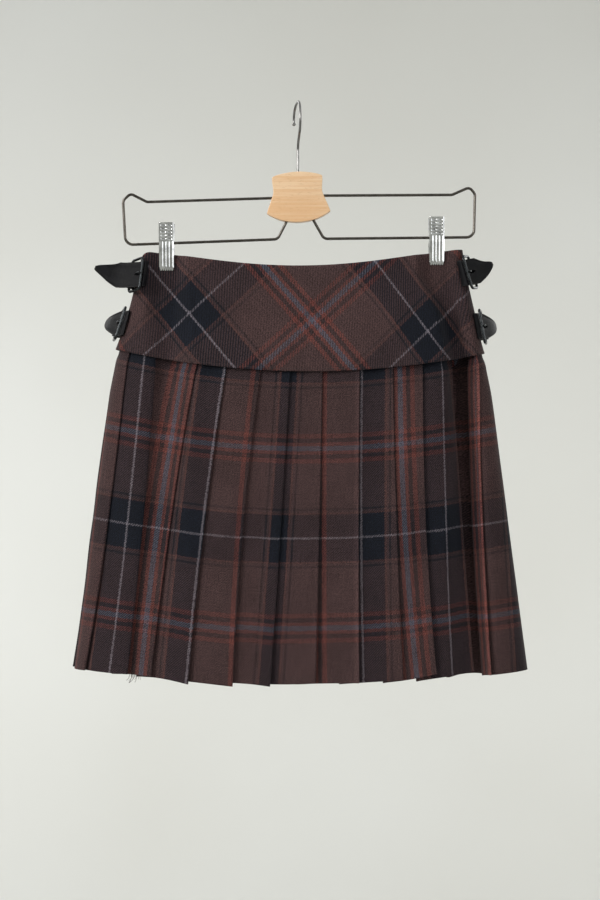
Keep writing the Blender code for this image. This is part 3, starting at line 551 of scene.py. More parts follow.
# For each fold in front, where it runs across the front, how far along the cloth its edge is, counted from
# a blue-grey stripe, how far the pleat's hem hangs below an even curve at its hidden side and at its fold,
# and how much painted highlight lightens the pressed edge
Fold = namedtuple("Fold", "name seam middle hem grain_seam grain_hem start_drop end_drop worn")
FRONT_FOLDS = (
    Fold("A", -169.1, -187.2, -211.3, 36.0, 28.0, 0.0, -2.5, 0.1),
    Fold("B", -140.6, -152.6, -168.1, 100.0, 106.5, -3.5, -4.0, 0.0),
    Fold("C", -100.8, -125.9, -145.2, 190.5, 185.5, -5.5, -3.5, 0.2),
    Fold("D", -71.0, -92.1, -108.1, 265.5, 266.0, -3.5, 1.0, 0.1),
    Fold("E", -37.0, -54.2, -64.4, 346.5, 342.0, 0.0, 1.0, 0.3),
    Fold("F", -7.9, -17.2, -27.7, 425.0, 427.5, -2.5, 0.0, 0.0),
    Fold("G", 23.7, 20.7, 17.0, 487.5, 499.5, -1.5, -3.5, 0.2),
    Fold("H", 60.4, 59.3, 59.7, 574.0, 573.5, -4.5, -3.0, 0.9),
    Fold("I", 93.2, 96.5, 102.9, 646.0, 654.5, -5.0, -4.5, 0.2),
    Fold("J", 123.2, 125.6, 135.9, 726.5, 723.0, -6.5, -8.5, 0.1),
    Fold("K", 157.5, 163.4, 174.0, 819.0, 818.0, -8.5, -7.0, 0.0),
    Fold("L", 179.7, 182.7, 190.7, 868.0, 869.0, -6.0, -2.0, 1.0),
)
SIDE_DROP = -2.0
BACK_FOLD_COUNT = 12
RIGHT_SIDE_FOLD_ANGLE = 178.0
LEFT_SIDE_FOLD_ANGLE = 355.0
SIDE_GRAIN_SEAM = 932.0
SIDE_GRAIN_HEM = 967.0
BACK_GRAIN_STEP = 76.5
BACK_LEAN_FOLDS = 2.5
# How strongly the back's fold edges are lightened: painted highlight
BACK_FOLD_HIGHLIGHT = 0.2
UNDERFOLD = 19.0
UNDERFOLD_SHARE = 0.6
LAYER_PITCH_SEAM = 1.2
LAYER_PITCH_HEM = 2.1
LAYERS_DEEP = 3.2
HEM_STEP = 2.0
SEAM_GAP = 0.5
PLEAT_WALL = 0.8
PLEAT_ROWS = 84
FACE_STEPS = 14
PLEAT_LENGTH = 306.0
FIRST_STRIPE_FROM_HEM = 57.0
GRAIN_SAG = 2.6

# Soft troughs that all the layers share, by where each runs across the front or the back at the seam and at
# the hem, how wide it is to the left and to the right, and how deep at the seam, halfway and at the hem
Trough = namedtuple("Trough", "name face seam hem left right depth_seam depth_middle depth_hem")
PLEAT_TROUGHS = (
    Trough("right valley", "front", 157.5, 178.0, 15.0, 10.0, 9.0, 1.5, 1.0),
    Trough("left valley", "front", -128.0, -146.0, 18.0, 14.0, 3.0, 1.0, 0.0),
    Trough("below left clip", "front", -86.0, -118.0, 16.0, 22.0, 2.2, 1.2, 0.6),
    Trough("middle left", "front", -26.0, -44.0, 20.0, 18.0, 0.8, 2.2, 1.6),
    Trough("middle right", "front", 74.0, 80.0, 20.0, 17.0, 1.4, 2.0, 0.8),
    Trough("beside right valley", "front", 116.0, 124.0, 15.0, 18.0, 2.0, 0.8, 0.4),
    Trough("back left valley", "back", -152.0, -172.0, 16.0, 13.0, 7.0, 5.0, 3.0),
    Trough("back middle", "back", -20.0, -32.0, 24.0, 18.0, 1.2, 2.4, 1.8),
    Trough("back right", "back", 96.0, 112.0, 20.0, 22.0, 2.4, 1.4, 0.6),
    Trough("back right valley", "back", 150.0, 168.0, 14.0, 16.0, 6.0, 4.0, 2.0),
)

# The pleats whose hidden side lies deep under the one before: how deep at the seam, halfway and at the hem
Sunk = namedtuple("Sunk", "pleat seam middle hem")
SUNK_PLEATS = (
    Sunk(11, 11.0, 15.0, 11.0),
    Sunk(2, 1.0, 2.5, 3.0),
    Sunk(18, 2.0, 5.0, 6.0),
)
TUCK_UP = 5.0
TUCK_IN = 2.3
TUCK_OVER = 0.035
SIDE_BULGE = 2.6


def from_seam_to_hem(seam, middle, hem, t):
    """The value at this share of the way down, on a curve through the three."""
    return seam * (1 - t) * (1 - 2 * t) + middle * 4 * t * (1 - t) + hem * t * (2 * t - 1)


def sunk_depth(pleat, t):
    """How far this pleat's hidden side is pushed in at this level."""
    for sunk in SUNK_PLEATS:
        if sunk.pleat == pleat:
            return from_seam_to_hem(sunk.seam, sunk.middle, sunk.hem, t)
    return 0.0


def fold_places(ring):
    """The distance along the ring of each fold's edge, the front's first."""
    t = ring.at - 1
    places = []
    for fold in FRONT_FOLDS:
        x = from_seam_to_hem(fold.seam, fold.middle, fold.hem, t)
        places.append(ring.length_at_x(x, True))
    first = ring.length_at(RIGHT_SIDE_FOLD_ANGLE)
    last = ring.length_at(LEFT_SIDE_FOLD_ANGLE)
    for i in range(BACK_FOLD_COUNT + 1):
        places.append(first + (last - first) * i / BACK_FOLD_COUNT)
    return places


def underfold_of(width):
    return min(UNDERFOLD, UNDERFOLD_SHARE * width)


def fold_grains(t):
    """How far along the cloth each fold's edge is, all in one count round the skirt."""
    grains = [fold.grain_seam + (fold.grain_hem - fold.grain_seam) * t for fold in FRONT_FOLDS]
    for k in range(BACK_FOLD_COUNT + 1):
        lean = (SIDE_GRAIN_HEM - SIDE_GRAIN_SEAM) * max(1 - k / BACK_LEAN_FOLDS, 0.0)
        grains.append(SIDE_GRAIN_SEAM + BACK_GRAIN_STEP * k + lean * t)
    return grains


def trough_rows(ring):
    """The troughs at this level, as (distance, left, right, depth) rows."""
    t = ring.at - 1
    rows = []
    for trough in PLEAT_TROUGHS:
        x = trough.seam + (trough.hem - trough.seam) * t
        place = ring.length_at_x(x, trough.face == "front")
        depth = from_seam_to_hem(trough.depth_seam, trough.depth_middle, trough.depth_hem, t)
        left, right = trough.left, trough.right
        if trough.face == "back":
            left, right = right, left
        rows.append((place, left, right, depth))
    return rows


def trough_depth(length, rows, whole):
    total = 0.0
    for place, left, right, depth in rows:
        off = (length - place + whole / 2) % whole - whole / 2
        reach = left if off < 0 else right
        total += depth * ease(1 - abs(off) / reach)
    return total


def pleat_profile(previous, fold, previous_under, pitch, shape):
    """One pleat as (distance, inward, share of the face, painted highlight on the fold's edge) rows: its face
    from the hidden corner to the fold, the turn, and the underfold back to the next hidden corner."""
    deep = LAYERS_DEEP * pitch
    turn = pitch / 2
    start = previous - previous_under + turn
    end = fold - turn
    under = underfold_of(fold - previous)
    back = fold - under + turn
    lift = shape["flare"]
    rows = []
    for i in range(FACE_STEPS + 1):
        share = i / FACE_STEPS
        share = share + 0.08 * math.sin(math.tau * share) / math.tau
        bow = shape["bow"] * math.sin(math.pi * share) + lift * share**3
        rows.append((start + share * (end - start), deep * (1 - share) - bow, share, ease(share * 14 - 13)))
    rows.append((fold - turn * 0.25, turn * 0.3 - lift, 1.0, 1.0))
    rows.append((fold, turn - lift, 1.0, 0.9))
    rows.append((fold - turn * 0.25, turn * 1.7 - lift, 1.0, 0.3))
    rows.append((end, pitch - lift, 1.0, 0.0))
    for share in (0.15, 0.35, 0.6, 0.85, 1.0):
        inward = pitch - lift * (1 - share) + (deep - 2 * pitch) * share
        rows.append((end + (back - end) * share, inward, 1.0 - share, 0.0))
    rows.append((fold - under + turn * 0.3, deep - pitch + turn * 0.4, 0.0, 0.0))
    rows.append((fold - under, deep - turn, 0.0, 0.0))
    return rows


def pleat_shapes():
    """How far each pleat's face bows out, how far its fold stands off at the hem, and from where."""
    draw = random.Random(11)
    shapes = []
    for _ in range(len(FRONT_FOLDS) + BACK_FOLD_COUNT + 1):
        bow, flare, from_t = draw.uniform(0.0, 0.9), draw.uniform(0.1, 1.5), draw.uniform(0.3, 0.6)
        shapes.append({"bow": bow, "flare": flare, "from": from_t})
    return shapes


def ripple(length, at):
    """A slow, uneven in and out of the hanging cloth, the same for all its layers."""
    slow = noise.noise(Vector((length / 70.0, at * 1.4, 3.0)))
    quick = noise.noise(Vector((length / 26.0, at * 2.6, 9.0)))
    return (1.4 * slow + 0.6 * quick) * ease((at - 1) / 0.35)


def pleat_columns():
    """For each row of the pleats, the points, the cloth's own places and the wear of every pleat."""
    shapes = pleat_shapes()
    face_end = FACE_STEPS + 2
    table = []
    for row in range(-1, PLEAT_ROWS + 1):
        t = max(row, 0) / PLEAT_ROWS
        above = TUCK_UP if row < 0 else 0.0
        at = 1 + t
        ring = Ring(at)
        troughs = trough_rows(ring)
        pitch = LAYER_PITCH_SEAM + t * (LAYER_PITCH_HEM - LAYER_PITCH_SEAM)
        places = fold_places(ring)
        grains = fold_grains(t)
        before = [places[-1] - ring.whole] + places[:-1]
        earlier = [places[-2] - ring.whole] + before[:-1]
        pleats = []
        for i, (fold, previous, second) in enumerate(zip(places, before, earlier)):
            flare = shapes[i]["flare"] * ease((t - shapes[i]["from"]) / 0.6)
            shape = {"bow": shapes[i]["bow"] * ease(t / 0.5), "flare": flare}
            profile = pleat_profile(previous, fold, underfold_of(previous - second), pitch, shape)
            front = FRONT_FOLDS[i] if i < len(FRONT_FOLDS) else None
            drops = (front.start_drop, front.end_drop) if front else (SIDE_DROP, SIDE_DROP)
            under_end = grains[i] + underfold_of(fold - previous)
            if i + 1 < len(places):
                under_end = grains[i + 1] - (places[i + 1] - fold) - underfold_of(fold - previous)
            points, maps, worn = [], [], []
            for k, (length, inward, share, fold_edge_highlight) in enumerate(profile):
                visible = min(max((length - previous) / (fold - previous), 0.0), 1.0)
                passed = max(k - face_end, 0) / (len(profile) - 1 - face_end)
                turn = math.radians(ring.angle_at(length))
                inward += ripple(length, at) + trough_depth(length, troughs, ring.whole)
                inward += sunk_depth(i + 1, t) * ease(passed)
                if k <= face_end:
                    inward += sunk_depth(i, t) * (1 - visible) ** 1.2
                inward += TUCK_IN * ease(1 - t / TUCK_OVER)
                inward -= SIDE_BULGE * abs(math.cos(turn)) ** 8 * ease(t / 0.15) * ease((1 - t) / 0.6)
                point = ring.place(length, inward)
                drop = drops[0] + (drops[1] - drops[0]) * visible
                point.z -= (HEM_STEP + drop) * share * t * t - above
                point.z -= SEAM_GAP * (1 - t)
                across = grains[i] - (fold - length)
                if passed > 0:
                    across = grains[i] + (under_end - grains[i]) * passed
                sag = GRAIN_SAG * math.sin(turn) ** 2
                points.append(point)
                maps.append((across, (1 - t) * PLEAT_LENGTH - FIRST_STRIPE_FROM_HEM + sag + above))
                # Painted highlight along the fold's pressed edge, set for each fold
                worn.append(fold_edge_highlight * (front.worn if front else BACK_FOLD_HIGHLIGHT))
            pleats.append((points, maps, worn))
        table.append(pleats)
    return table


def stands_for(obj, node_name):
    """The piece rides with the skirt and takes the place of its node, which is hidden."""
    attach(obj, "root")
    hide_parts(node_name)


def pleats_half(name, table, first, last):
    """The pleats from first to last. The last one's underfold ends clear of the next half's hidden start."""
    rows, maps, worn = [], [], []
    for pleats in table:
        for store, part in ((rows, 0), (maps, 1), (worn, 2)):
            joined = []
            for pleat in pleats[first:last]:
                joined.extend(pleat[part])
            store.append(joined[:-1])
    obj = wall_object(name + "_cloth", rows, maps, PLEAT_WALL, TARTAN, worn)
    stands_for(obj, name)


pleat_table = pleat_columns()
front_count = len(FRONT_FOLDS) + 1
pleats_half("pleats_front", pleat_table, 0, front_count)
pleats_half("pleats_back", pleat_table, front_count, None)

# Yoke
# Two fitted pieces of the same tartan cut on the bias, turned under at the waist and stitched down over
# the top of the pleats. The twill's ribs stand upright on them.
YOKE_WALL = 2.0
YOKE_ROWS = 44
YOKE_COLUMNS = 240
BACKSLASH_ANGLE = 49.5
SLASH_ANGLE = 42.8
YOKE_EDGE = 0.8
PUCKER_DEPTH = 0.5
PUCKER_LENGTH = 4.5
CROSSING_LEVEL = 0.6
Crossing = namedtuple("Crossing", "name x z")
FRONT_CROSSING = Crossing("blue-grey stripes cross", 14.0, -219.0)
RIGHT_EASE_FROM = 60.0
RIGHT_EASE_OVER = 85.0
RIGHT_EASE_ACROSS = 8.0
RIGHT_EASE_UP = 4.0
BACK_CROSSING = Crossing("blue-grey stripes cross", -22.0, -223.0)


def yoke_maps(s, h):
    """Where a place s across and h up from the stripes' crossing lies on the slanting cloth."""
    backslash, slash = math.radians(BACKSLASH_ANGLE), math.radians(SLASH_ANGLE)
    return (
        s * math.sin(backslash) + h * math.cos(backslash),
        -s * math.sin(slash) + h * math.cos(slash),
    )


# Soft creases of the yoke: where each starts and ends, how wide it is and how deep, in millimetres
Crease = namedtuple("Crease", "name x z to_x to_z width depth")
FRONT_CREASES = (
    Crease("under left clip", -120.0, -176.0, -88.0, -232.0, 9.0, 1.5),
    Crease("left of left clip", -143.0, -190.0, -150.0, -240.0, 7.0, 1.0),
    Crease("from left clip down", -128.0, -185.0, -122.0, -262.0, 10.0, 1.1),
    Crease("under right clip", 128.0, -172.0, 104.0, -228.0, 10.0, 1.2),
    Crease("right bulge", 163.0, -196.0, 168.0, -262.0, 6.0, -2.5),
    Crease("seam pull left", -70.0, -268.0, -40.0, -236.0, 8.0, 0.7),
    Crease("seam pull middle", 30.0, -270.0, 46.0, -240.0, 9.0, 0.6),
    Crease("seam pull right", 92.0, -266.0, 84.0, -236.0, 8.0, 0.8),
)
BACK_CREASES = (
    Crease("under left clip", -122.0, -176.0, -96.0, -236.0, 9.0, 1.4),
    Crease("under right clip", 128.0, -172.0, 100.0, -236.0, 9.0, 1.4),
    Crease("from right clip down", 134.0, -186.0, 130.0, -262.0, 9.0, 1.0),
    Crease("seam pull left", -58.0, -270.0, -30.0, -238.0, 8.0, 0.7),
    Crease("seam pull right", 60.0, -270.0, 74.0, -236.0, 9.0, 0.7),
)


def crease_depth(point, creases):
    """How far the creases push the cloth in at this point."""
    total = 0.0
    for crease in creases:
        start = Vector((crease.x, crease.z))
        way = Vector((crease.to_x, crease.to_z)) - start
        here = Vector((point.x, point.z)) - start
        share = min(max(here.dot(way) / way.length_squared, 0.0), 1.0)
        off = (here - way * share).length / crease.width
        taper = 0.35 + 0.65 * math.sin(math.pi * min(max(share, 0.04), 0.96)) ** 0.6
        total += crease.depth * taper * math.exp(-off * off)
    return total


def yoke_half(name, first_angle, crossing, creases):
    """Half of the yoke, from one side to the other, with its creases and the pucker along its seam. Its
    stripes run as they would if no clip pinched it."""
    on_front = first_angle == 0
    apart = Vector((0, -SIDE_GAP / 2 if on_front else SIDE_GAP / 2, 0))
    middle = Ring(CROSSING_LEVEL)
    crossing_angle = middle.angle_at(middle.length_at_x(crossing.x, on_front))
    rows, maps, worn = [], [], []
    for i in range(YOKE_ROWS + 1):
        at = i / YOKE_ROWS
        ring = Ring(at)
        free_ring = Ring(at, pinched=False)
        origin = free_ring.length_at(crossing_angle)
        start, end = ring.length_at(first_angle), ring.length_at(min(first_angle + 180, 359.999))
        row, row_maps, row_paler_waist_edge = [], [], []
        for j in range(YOKE_COLUMNS + 1):
            share = j / YOKE_COLUMNS
            length = start + (end - start) * share
            point = ring.place(length, 0.0)
            push = crease_depth(point, creases) * ease(at / 0.15)
            push += 0.5 * noise.noise(Vector((length / 45.0, at * 2.2, first_angle))) * ease(at / 0.3)
            push *= ease((1.06 - at) / 0.12)
            pucker = noise.noise(Vector((length / PUCKER_LENGTH, 7.0, first_angle)))
            push += PUCKER_DEPTH * pucker * ease((at - 0.9) / 0.1)
            push *= ease(min(share, 1 - share) / 0.03)
            point = ring.place(length, push)
            across = free_ring.length_at(ring.angle_at(length)) - origin
            row.append(point + apart)
            eased = ease((point.x - RIGHT_EASE_FROM) / RIGHT_EASE_OVER) if on_front else 0.0
            across += RIGHT_EASE_ACROSS * eased
            row_maps.append(yoke_maps(across, point.z - crossing.z + RIGHT_EASE_UP * eased))
            # The colour is made paler along the waist edge.
            row_paler_waist_edge.append(0.4 * ease(1 - at / 0.03))
        rows.append(row)
        maps.append(row_maps)
        worn.append(row_paler_waist_edge)
    obj = wall_object(name + "_cloth", rows, maps, YOKE_WALL, BIAS_TARTAN, worn, rounded=YOKE_EDGE)
    stands_for(obj, name)
    return rows


yoke_front_rows = yoke_half("yoke_front", 0, FRONT_CROSSING, FRONT_CREASES)
yoke_back_rows = yoke_half("yoke_back", 180, BACK_CROSSING, BACK_CREASES)

# Seam stitches
# A row of short brown stitches along the foot of each yoke, which sews it down over the pleats. They sink
# into the wool and come up again at every second yarn or so.
STITCH_LENGTH = 2.2
STITCH_PITCH = 3.1
STITCH_THREAD = 0.26
SEAM_STITCH_ROW = YOKE_ROWS - 1
THREAD = new_material("brown thread", linear(48, 36, 37), 0.7)[0]


def new_tree(name, sizes):
    """A Geometry Nodes tree with a geometry, the named sizes and a finish as its inputs."""
    tree = bpy.data.node_groups.new(name, "GeometryNodeTree")
    tree.interface.new_socket("Geometry", in_out="INPUT", socket_type="NodeSocketGeometry")
    for label, kind in sizes.items():
        tree.interface.new_socket(label, in_out="INPUT", socket_type="NodeSocket" + kind)
    tree.interface.new_socket("Finish", in_out="INPUT", socket_type="NodeSocketMaterial")
    tree.interface.new_socket("Geometry", in_out="OUTPUT", socket_type="NodeSocketGeometry")
    return tree, tree.nodes.new("NodeGroupInput").outputs


def end_tree(tree, geometry, finish):
    """The tree's end: everything real, smooth and in its finish."""
    real = node(tree, "GeometryNodeRealizeInstances", {0: geometry})
    even = node(tree, "GeometryNodeSetShadeSmooth", {0: real.outputs[0]})
    done = node(tree, "GeometryNodeSetMaterial", {"Geometry": even.outputs[0], "Material": finish})
    tree.links.new(done.outputs[0], tree.nodes.new("NodeGroupOutput").inputs[0])
    return tree


def stray_turn(tree, most, seed):
    """A random turn about each axis, of this much at most."""
    least = maths(tree, "MULTIPLY", most, -1.0)
    stray = node(tree, "FunctionNodeRandomValue", {0: least, 1: most, "Seed": seed}, data_type="FLOAT_VECTOR")
    return node(tree, "FunctionNodeEulerToRotation", {0: stray.outputs[0]}).outputs[0]


def stitch_tree():
    """Short threads laid end to end along a path, each turned a little differently."""
    sizes = {"Length": "Float", "Pitch": "Float", "Thread": "Float", "Uneven": "Float", "Seed": "Int"}
    tree, given = new_tree("stitches along a path", sizes)
    path = node(tree, "GeometryNodeMeshToCurve", {"Mesh": given["Geometry"]})
    spacing = {"Curve": path.outputs[0], "Length": given["Pitch"]}
    spaced = node(tree, "GeometryNodeResampleCurve", spacing, mode="LENGTH")
    thread = node(tree, "GeometryNodeMeshUVSphere", {"Segments": 6, "Rings": 5, "Radius": 1.0})
    half = maths(tree, "MULTIPLY", given["Length"], 0.5)
    size = node(tree, "ShaderNodeCombineXYZ", {0: given["Thread"], 1: given["Thread"], 2: half})
    long = node(tree, "GeometryNodeTransform", {"Geometry": thread.outputs[0], "Scale": size.outputs[0]})
    tangent = node(tree, "GeometryNodeInputTangent")
    laid = node(tree, "FunctionNodeAlignRotationToVector", {"Vector": tangent.outputs[0]}, axis="Z")
    stray = stray_turn(tree, given["Uneven"], given["Seed"])
    turned = node(tree, "FunctionNodeRotateRotation", {0: laid.outputs[0], 1: stray})
    sewing = {"Points": spaced.outputs[0], "Instance": long.outputs[0], "Rotation": turned.outputs[0]}
    sewn = node(tree, "GeometryNodeInstanceOnPoints", sewing)
    return end_tree(tree, sewn.outputs[0], given["Finish"])


def run_tree(obj, tree, values):
    """Runs a tree on the object and keeps what it makes as the object's plain mesh."""
    run = obj.modifiers.new(tree.name, "NODES")
    run.node_group = tree
    for item in tree.interface.items_tree:
        if item.in_out == "INPUT" and item.name in values:
            run[item.identifier] = values[item.name]
    plain_mesh(obj)


def path_object(name, paths, cyclic=False):
    """An object whose edges run along the paths, in millimetres."""
    points, edges = [], []
    for path in paths:
        first = len(points)
        points.extend(Vector(point) * MM for point in path)
        edges.extend((first + i, first + i + 1) for i in range(len(path) - 1))
        if cyclic:
            edges.append((len(points) - 1, first))
    mesh = bpy.data.meshes.new(name)
    mesh.from_pydata(points, edges, [])
    return add_object(name, mesh)


STITCHES = stitch_tree()


def stitches(name, paths, finish, seed, uneven=0.12):
    obj = path_object(name, paths)
    values = {"Length": STITCH_LENGTH * MM, "Pitch": STITCH_PITCH * MM, "Thread": STITCH_THREAD * MM}
    run_tree(obj, STITCHES, {**values, "Uneven": uneven, "Seed": seed, "Finish": finish})
    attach(obj, "root")


def seam_line(rows, index, lift):
    """A line along one row of the yoke, lifted out of its wall."""
    row = rows[index]
    line = []
    for before, here, after in zip(row, row[1:], row[2:]):
        along = (after - before).normalized()
        line.append(here + lift * Vector((along.y, -along.x, 0)))
    return line


stitches("yoke_front_stitches", [seam_line(yoke_front_rows, SEAM_STITCH_ROW, YOKE_WALL / 2)], THREAD, 3)
stitches("yoke_back_stitches", [seam_line(yoke_back_rows, SEAM_STITCH_ROW, YOKE_WALL / 2)], THREAD, 5)

# Straps
# Four pointed straps of black leather, two on each side. Each is sewn to the front yoke, passes through its
# buckle, is slotted for the prong and punched again towards its tip, and has a creased line along its edges.
Buckle = namedtuple("Buckle", "name side bar_x bar_y bar_z lean turned pitch reach swung rise tab")
BUCKLES = (
    Buckle("left_upper", -1, -144.0, -9.0, -174.5, 16.0, 34.0, 17.0, 55.0, 85.0, 15.0, 7.0),
    Buckle("left_lower", -1, -173.0, -8.5, -221.2, 18.6, 8.0, 8.0, 48.0, 14.0, 6.0, 24.0),
    Buckle("right_upper", 1, 154.0, -9.0, -174.5, 16.9, 20.0, 2.0, 44.5, 50.0, 17.0, 7.0),
    Buckle("right_lower", 1, 179.0, -8.0, -224.0, 10.2, 8.0, 4.0, 48.0, 12.0, 5.0, 24.0),
)
STRAP_WIDTH = 26.0
STRAP_WALL = 2.2
STRAP_ROOT = 5.0
STRAP_POINTS = {"left_upper": 25.0, "right_upper": 25.0, "left_lower": 36.0, "right_lower": 36.0}
STRAP_POINT_END = 3.0
STRAP_TIP_BLUNT = 1.5
STRAP_CLIMB = 27.0
STRAP_CLIMB_OVER = 6.0
STRAP_SWING_FROM = 17.0
STRAP_SWING_OVER = 26.0
STRAP_RISE_FROM = 21.0
STRAP_RISE_OVER = 20.0
STRAP_STEPS = 60
STRAP_EDGE = 0.35
STRAP_COLUMNS = (-1.0, -0.9, -0.82, -0.74, -0.4, 0.0, 0.4, 0.74, 0.82, 0.9, 1.0)
STRAP_CREASE_AT = 0.82
STRAP_CREASE = 0.3
STRAP_HOLE_FROM_TIP = 25.0
STRAP_HOLE_RADIUS = 1.4
PRONG_SLOT_AT = 10.5
PRONG_SLOT_LENGTH = 12.0
PRONG_SLOT_WIDTH = 3.4
PUNCH_LENGTH = 8.0
FRAME_HEIGHT = 33.0
FRAME_WIRE = 1.4
NEIGHBOUR_GAP = 0.3
LAID_GAP = 0.95
REACH_STEPS = 20
RING_LEVELS_KEPT = 400


def leather_material():
    """Black bridle leather: fine pebbled grain, a soft waxy sheen and edges rubbed a little paler."""
    made, tree, shader = new_material("black leather", linear(14, 14, 17), 0.5)
    shader.inputs["Specular IOR Level"].default_value = 0.16
    place = node(tree, "ShaderNodeTexCoord").outputs["Object"]
    cloudy = noise_at(tree, place, 90.0, 4.0)
    colour = mixed(tree, between(tree, cloudy, 0.3, 0.7), linear(9, 9, 12), linear(18, 18, 22))
    worn = node(tree, "ShaderNodeAttribute", attribute_name="worn").outputs["Fac"]
    rubbed = maths(tree, "MULTIPLY", worn, between(tree, cloudy, 0.35, 0.65, 0.2, 0.7))
    colour = mixed(tree, rubbed, colour, linear(42, 41, 42))
    tree.links.new(colour, shader.inputs["Base Color"])
    pebbles = node(tree, "ShaderNodeTexVoronoi", {"Vector": place, "Scale": 1100.0}).outputs["Distance"]
    creases = noise_at(tree, place, 260.0, 3.0)
    add_bump(tree, shader, maths(tree, "MULTIPLY_ADD", creases, 1.4, pebbles), 0.5, 0.0002)
    rough = between(tree, maths(tree, "MULTIPLY_ADD", cloudy, 0.8, pebbles), 0.3, 1.2, 0.42, 0.62)
    tree.links.new(rough, shader.inputs["Roughness"])
    return made


LEATHER = leather_material()
LEATHER_THREAD = new_material("black thread", linear(22, 22, 24), 0.6)[0]


@functools.lru_cache(maxsize=RING_LEVELS_KEPT)
def ring_near(level):
    return Ring(level / 200)


def level_at(angle, z):
    """The level at which the yoke is this high."""
    low, high = -0.1, 1.1
    for _ in range(20):
        middle = (low + high) / 2
        if ring_point(angle, Sizes(middle)).z > z:
            low = middle
        else:
            high = middle
    return low


def beside_yoke(place, ahead, on_front, thickness):
    """Where something of this thickness lies on the yoke at the height of place: the nearest spot on this
    half of the ring, or one that is this far ahead of it."""
    angle = 90.0 if on_front else 270.0
    angle += 80 if (place.x > 0) == on_front else -80
    half = range(RING_SAMPLES // 2) if on_front else range(RING_SAMPLES // 2, RING_SAMPLES)
    for step in (0, ahead):
        ring = ring_near(round(200 * level_at(angle % 360, place.z)))
        nearest = min(half, key=lambda i: (ring.points[i] - place).xy.length)
        angle = ring.angle_at(ring.lengths[nearest] + step)
    sizes = Sizes(level_at(angle % 360, place.z))
    point = ring_point(angle % 360, sizes)
    before = ring_point((angle - 0.7) % 360, sizes)
    after = ring_point((angle + 0.7) % 360, sizes)
    outward = Vector((after.y - before.y, before.x - after.x, 0)).normalized()
    apart = Vector((0, -SIDE_GAP / 2 if on_front else SIDE_GAP / 2, 0))
    return point + apart + outward * (YOKE_WALL / 2 + LAID_GAP + thickness / 2)


def buckle_frame_axes(buckle):
    """The buckle's own axes: along the frame towards the back, outward from the cloth, and up."""
    turned = math.radians(buckle.turned)
    lean = math.radians(buckle.lean)
    pitch = math.radians(buckle.pitch)
    aside = Vector((buckle.side * math.cos(lean), 0, math.sin(lean)))
    level = math.sin(turned) * aside + Vector((0, math.cos(turned), 0))
    upright = Vector((-buckle.side * math.sin(lean), 0, math.cos(lean)))
    along = math.cos(pitch) * level - math.sin(pitch) * upright
    outward = math.cos(turned) * aside - Vector((0, math.sin(turned), 0))
    up = math.sin(pitch) * level + math.cos(pitch) * upright
    return along, outward, up


def bar_of(buckle):
    """The near bar's middle, moved out until the strap under it clears the yoke over the frame's height."""
    _, outward, up = buckle_frame_axes(buckle)
    bar = Vector((buckle.bar_x, buckle.bar_y, buckle.bar_z))
    reach = -math.inf
    first = -60 if buckle.side < 0 else 120
    for i in range(REACH_STEPS + 1):
        sizes = Sizes(i / REACH_STEPS)
        for turn in range(0, 120, 5):
            point = ring_point((first + turn) % 360, sizes)
            rise = point.z - bar.z
            if abs(rise) <= FRAME_HEIGHT / 2:
                reach = max(reach, outward.dot(point - up * rise / up.z))
    layers = YOKE_WALL / 2 + STRAP_WALL + 2 * NEIGHBOUR_GAP + FRAME_WIRE
    return bar + outward * (reach + layers - outward.dot(bar))


def strap_path(buckle):
    """The strap's middle, as (distance, point, way across the strap) rows from its root to its tip."""
    along, outward, up = buckle_frame_axes(buckle)
    bar = bar_of(buckle)
    under_bar = FRAME_WIRE + NEIGHBOUR_GAP + STRAP_WALL / 2
    place = bar - outward * under_bar - along * STRAP_ROOT
    rows = [(-STRAP_ROOT, place, up)]
    step = (buckle.reach + STRAP_ROOT) / STRAP_STEPS
    for i in range(STRAP_STEPS):
        middle = -STRAP_ROOT + (i + 0.5) * step
        climb = STRAP_CLIMB * ease(middle / STRAP_CLIMB_OVER)
        swing = buckle.swung - buckle.turned - STRAP_CLIMB
        swing *= ease((middle - STRAP_SWING_FROM) / STRAP_SWING_OVER)
        heading = math.radians(climb + swing)
        rise = math.radians(buckle.rise * ease((middle - STRAP_RISE_FROM) / STRAP_RISE_OVER))
        ahead = math.cos(heading) * along + math.sin(heading) * outward
        place = place + step * (math.cos(rise) * ahead + math.sin(rise) * up)
        across = math.cos(rise) * up - math.sin(rise) * ahead
        rows.append((-STRAP_ROOT + (i + 1) * step, place, across))
    return rows


def strap_half_width(left, point):
    """Half of the strap's width this far from its tip: it narrows to a blunt, rounded point."""
    if left >= point:
        return STRAP_WIDTH / 2
    share = max(left - STRAP_TIP_BLUNT, 0) / (point - STRAP_TIP_BLUNT)
    width = STRAP_POINT_END + share * (STRAP_WIDTH / 2 - STRAP_POINT_END)
    round_end = min(left / STRAP_POINT_END, 1.0)
    return width * math.sqrt(max(round_end * (2 - round_end), 0.16))


def cut_away(obj, shape):
    """Cuts a closed shape out of the object."""
    cutter = add_shape("cutter", shape)
    cut = obj.modifiers.new("Cut", "BOOLEAN")
    cut.operation = "DIFFERENCE"
    cut.object = cutter
    plain_mesh(obj)
    bpy.data.objects.remove(cutter, do_unlink=True)


def punch(obj, place, ahead, across, length, width):
    """Cuts a round or long hole through the leather."""
    through = ahead.cross(across).normalized()
    shape = bmesh.new()
    bmesh.ops.create_cone(shape, cap_ends=True, segments=24, radius1=0.5, radius2=0.5, depth=1.0)
    for vert in shape.verts:
        flat = vert.co.copy()
        spot = ahead * flat.x * length + across * flat.y * width + through * flat.z * PUNCH_LENGTH
        vert.co = (place + spot) * MM
    bmesh.ops.recalc_face_normals(shape, faces=shape.faces)
    cut_away(obj, shape)


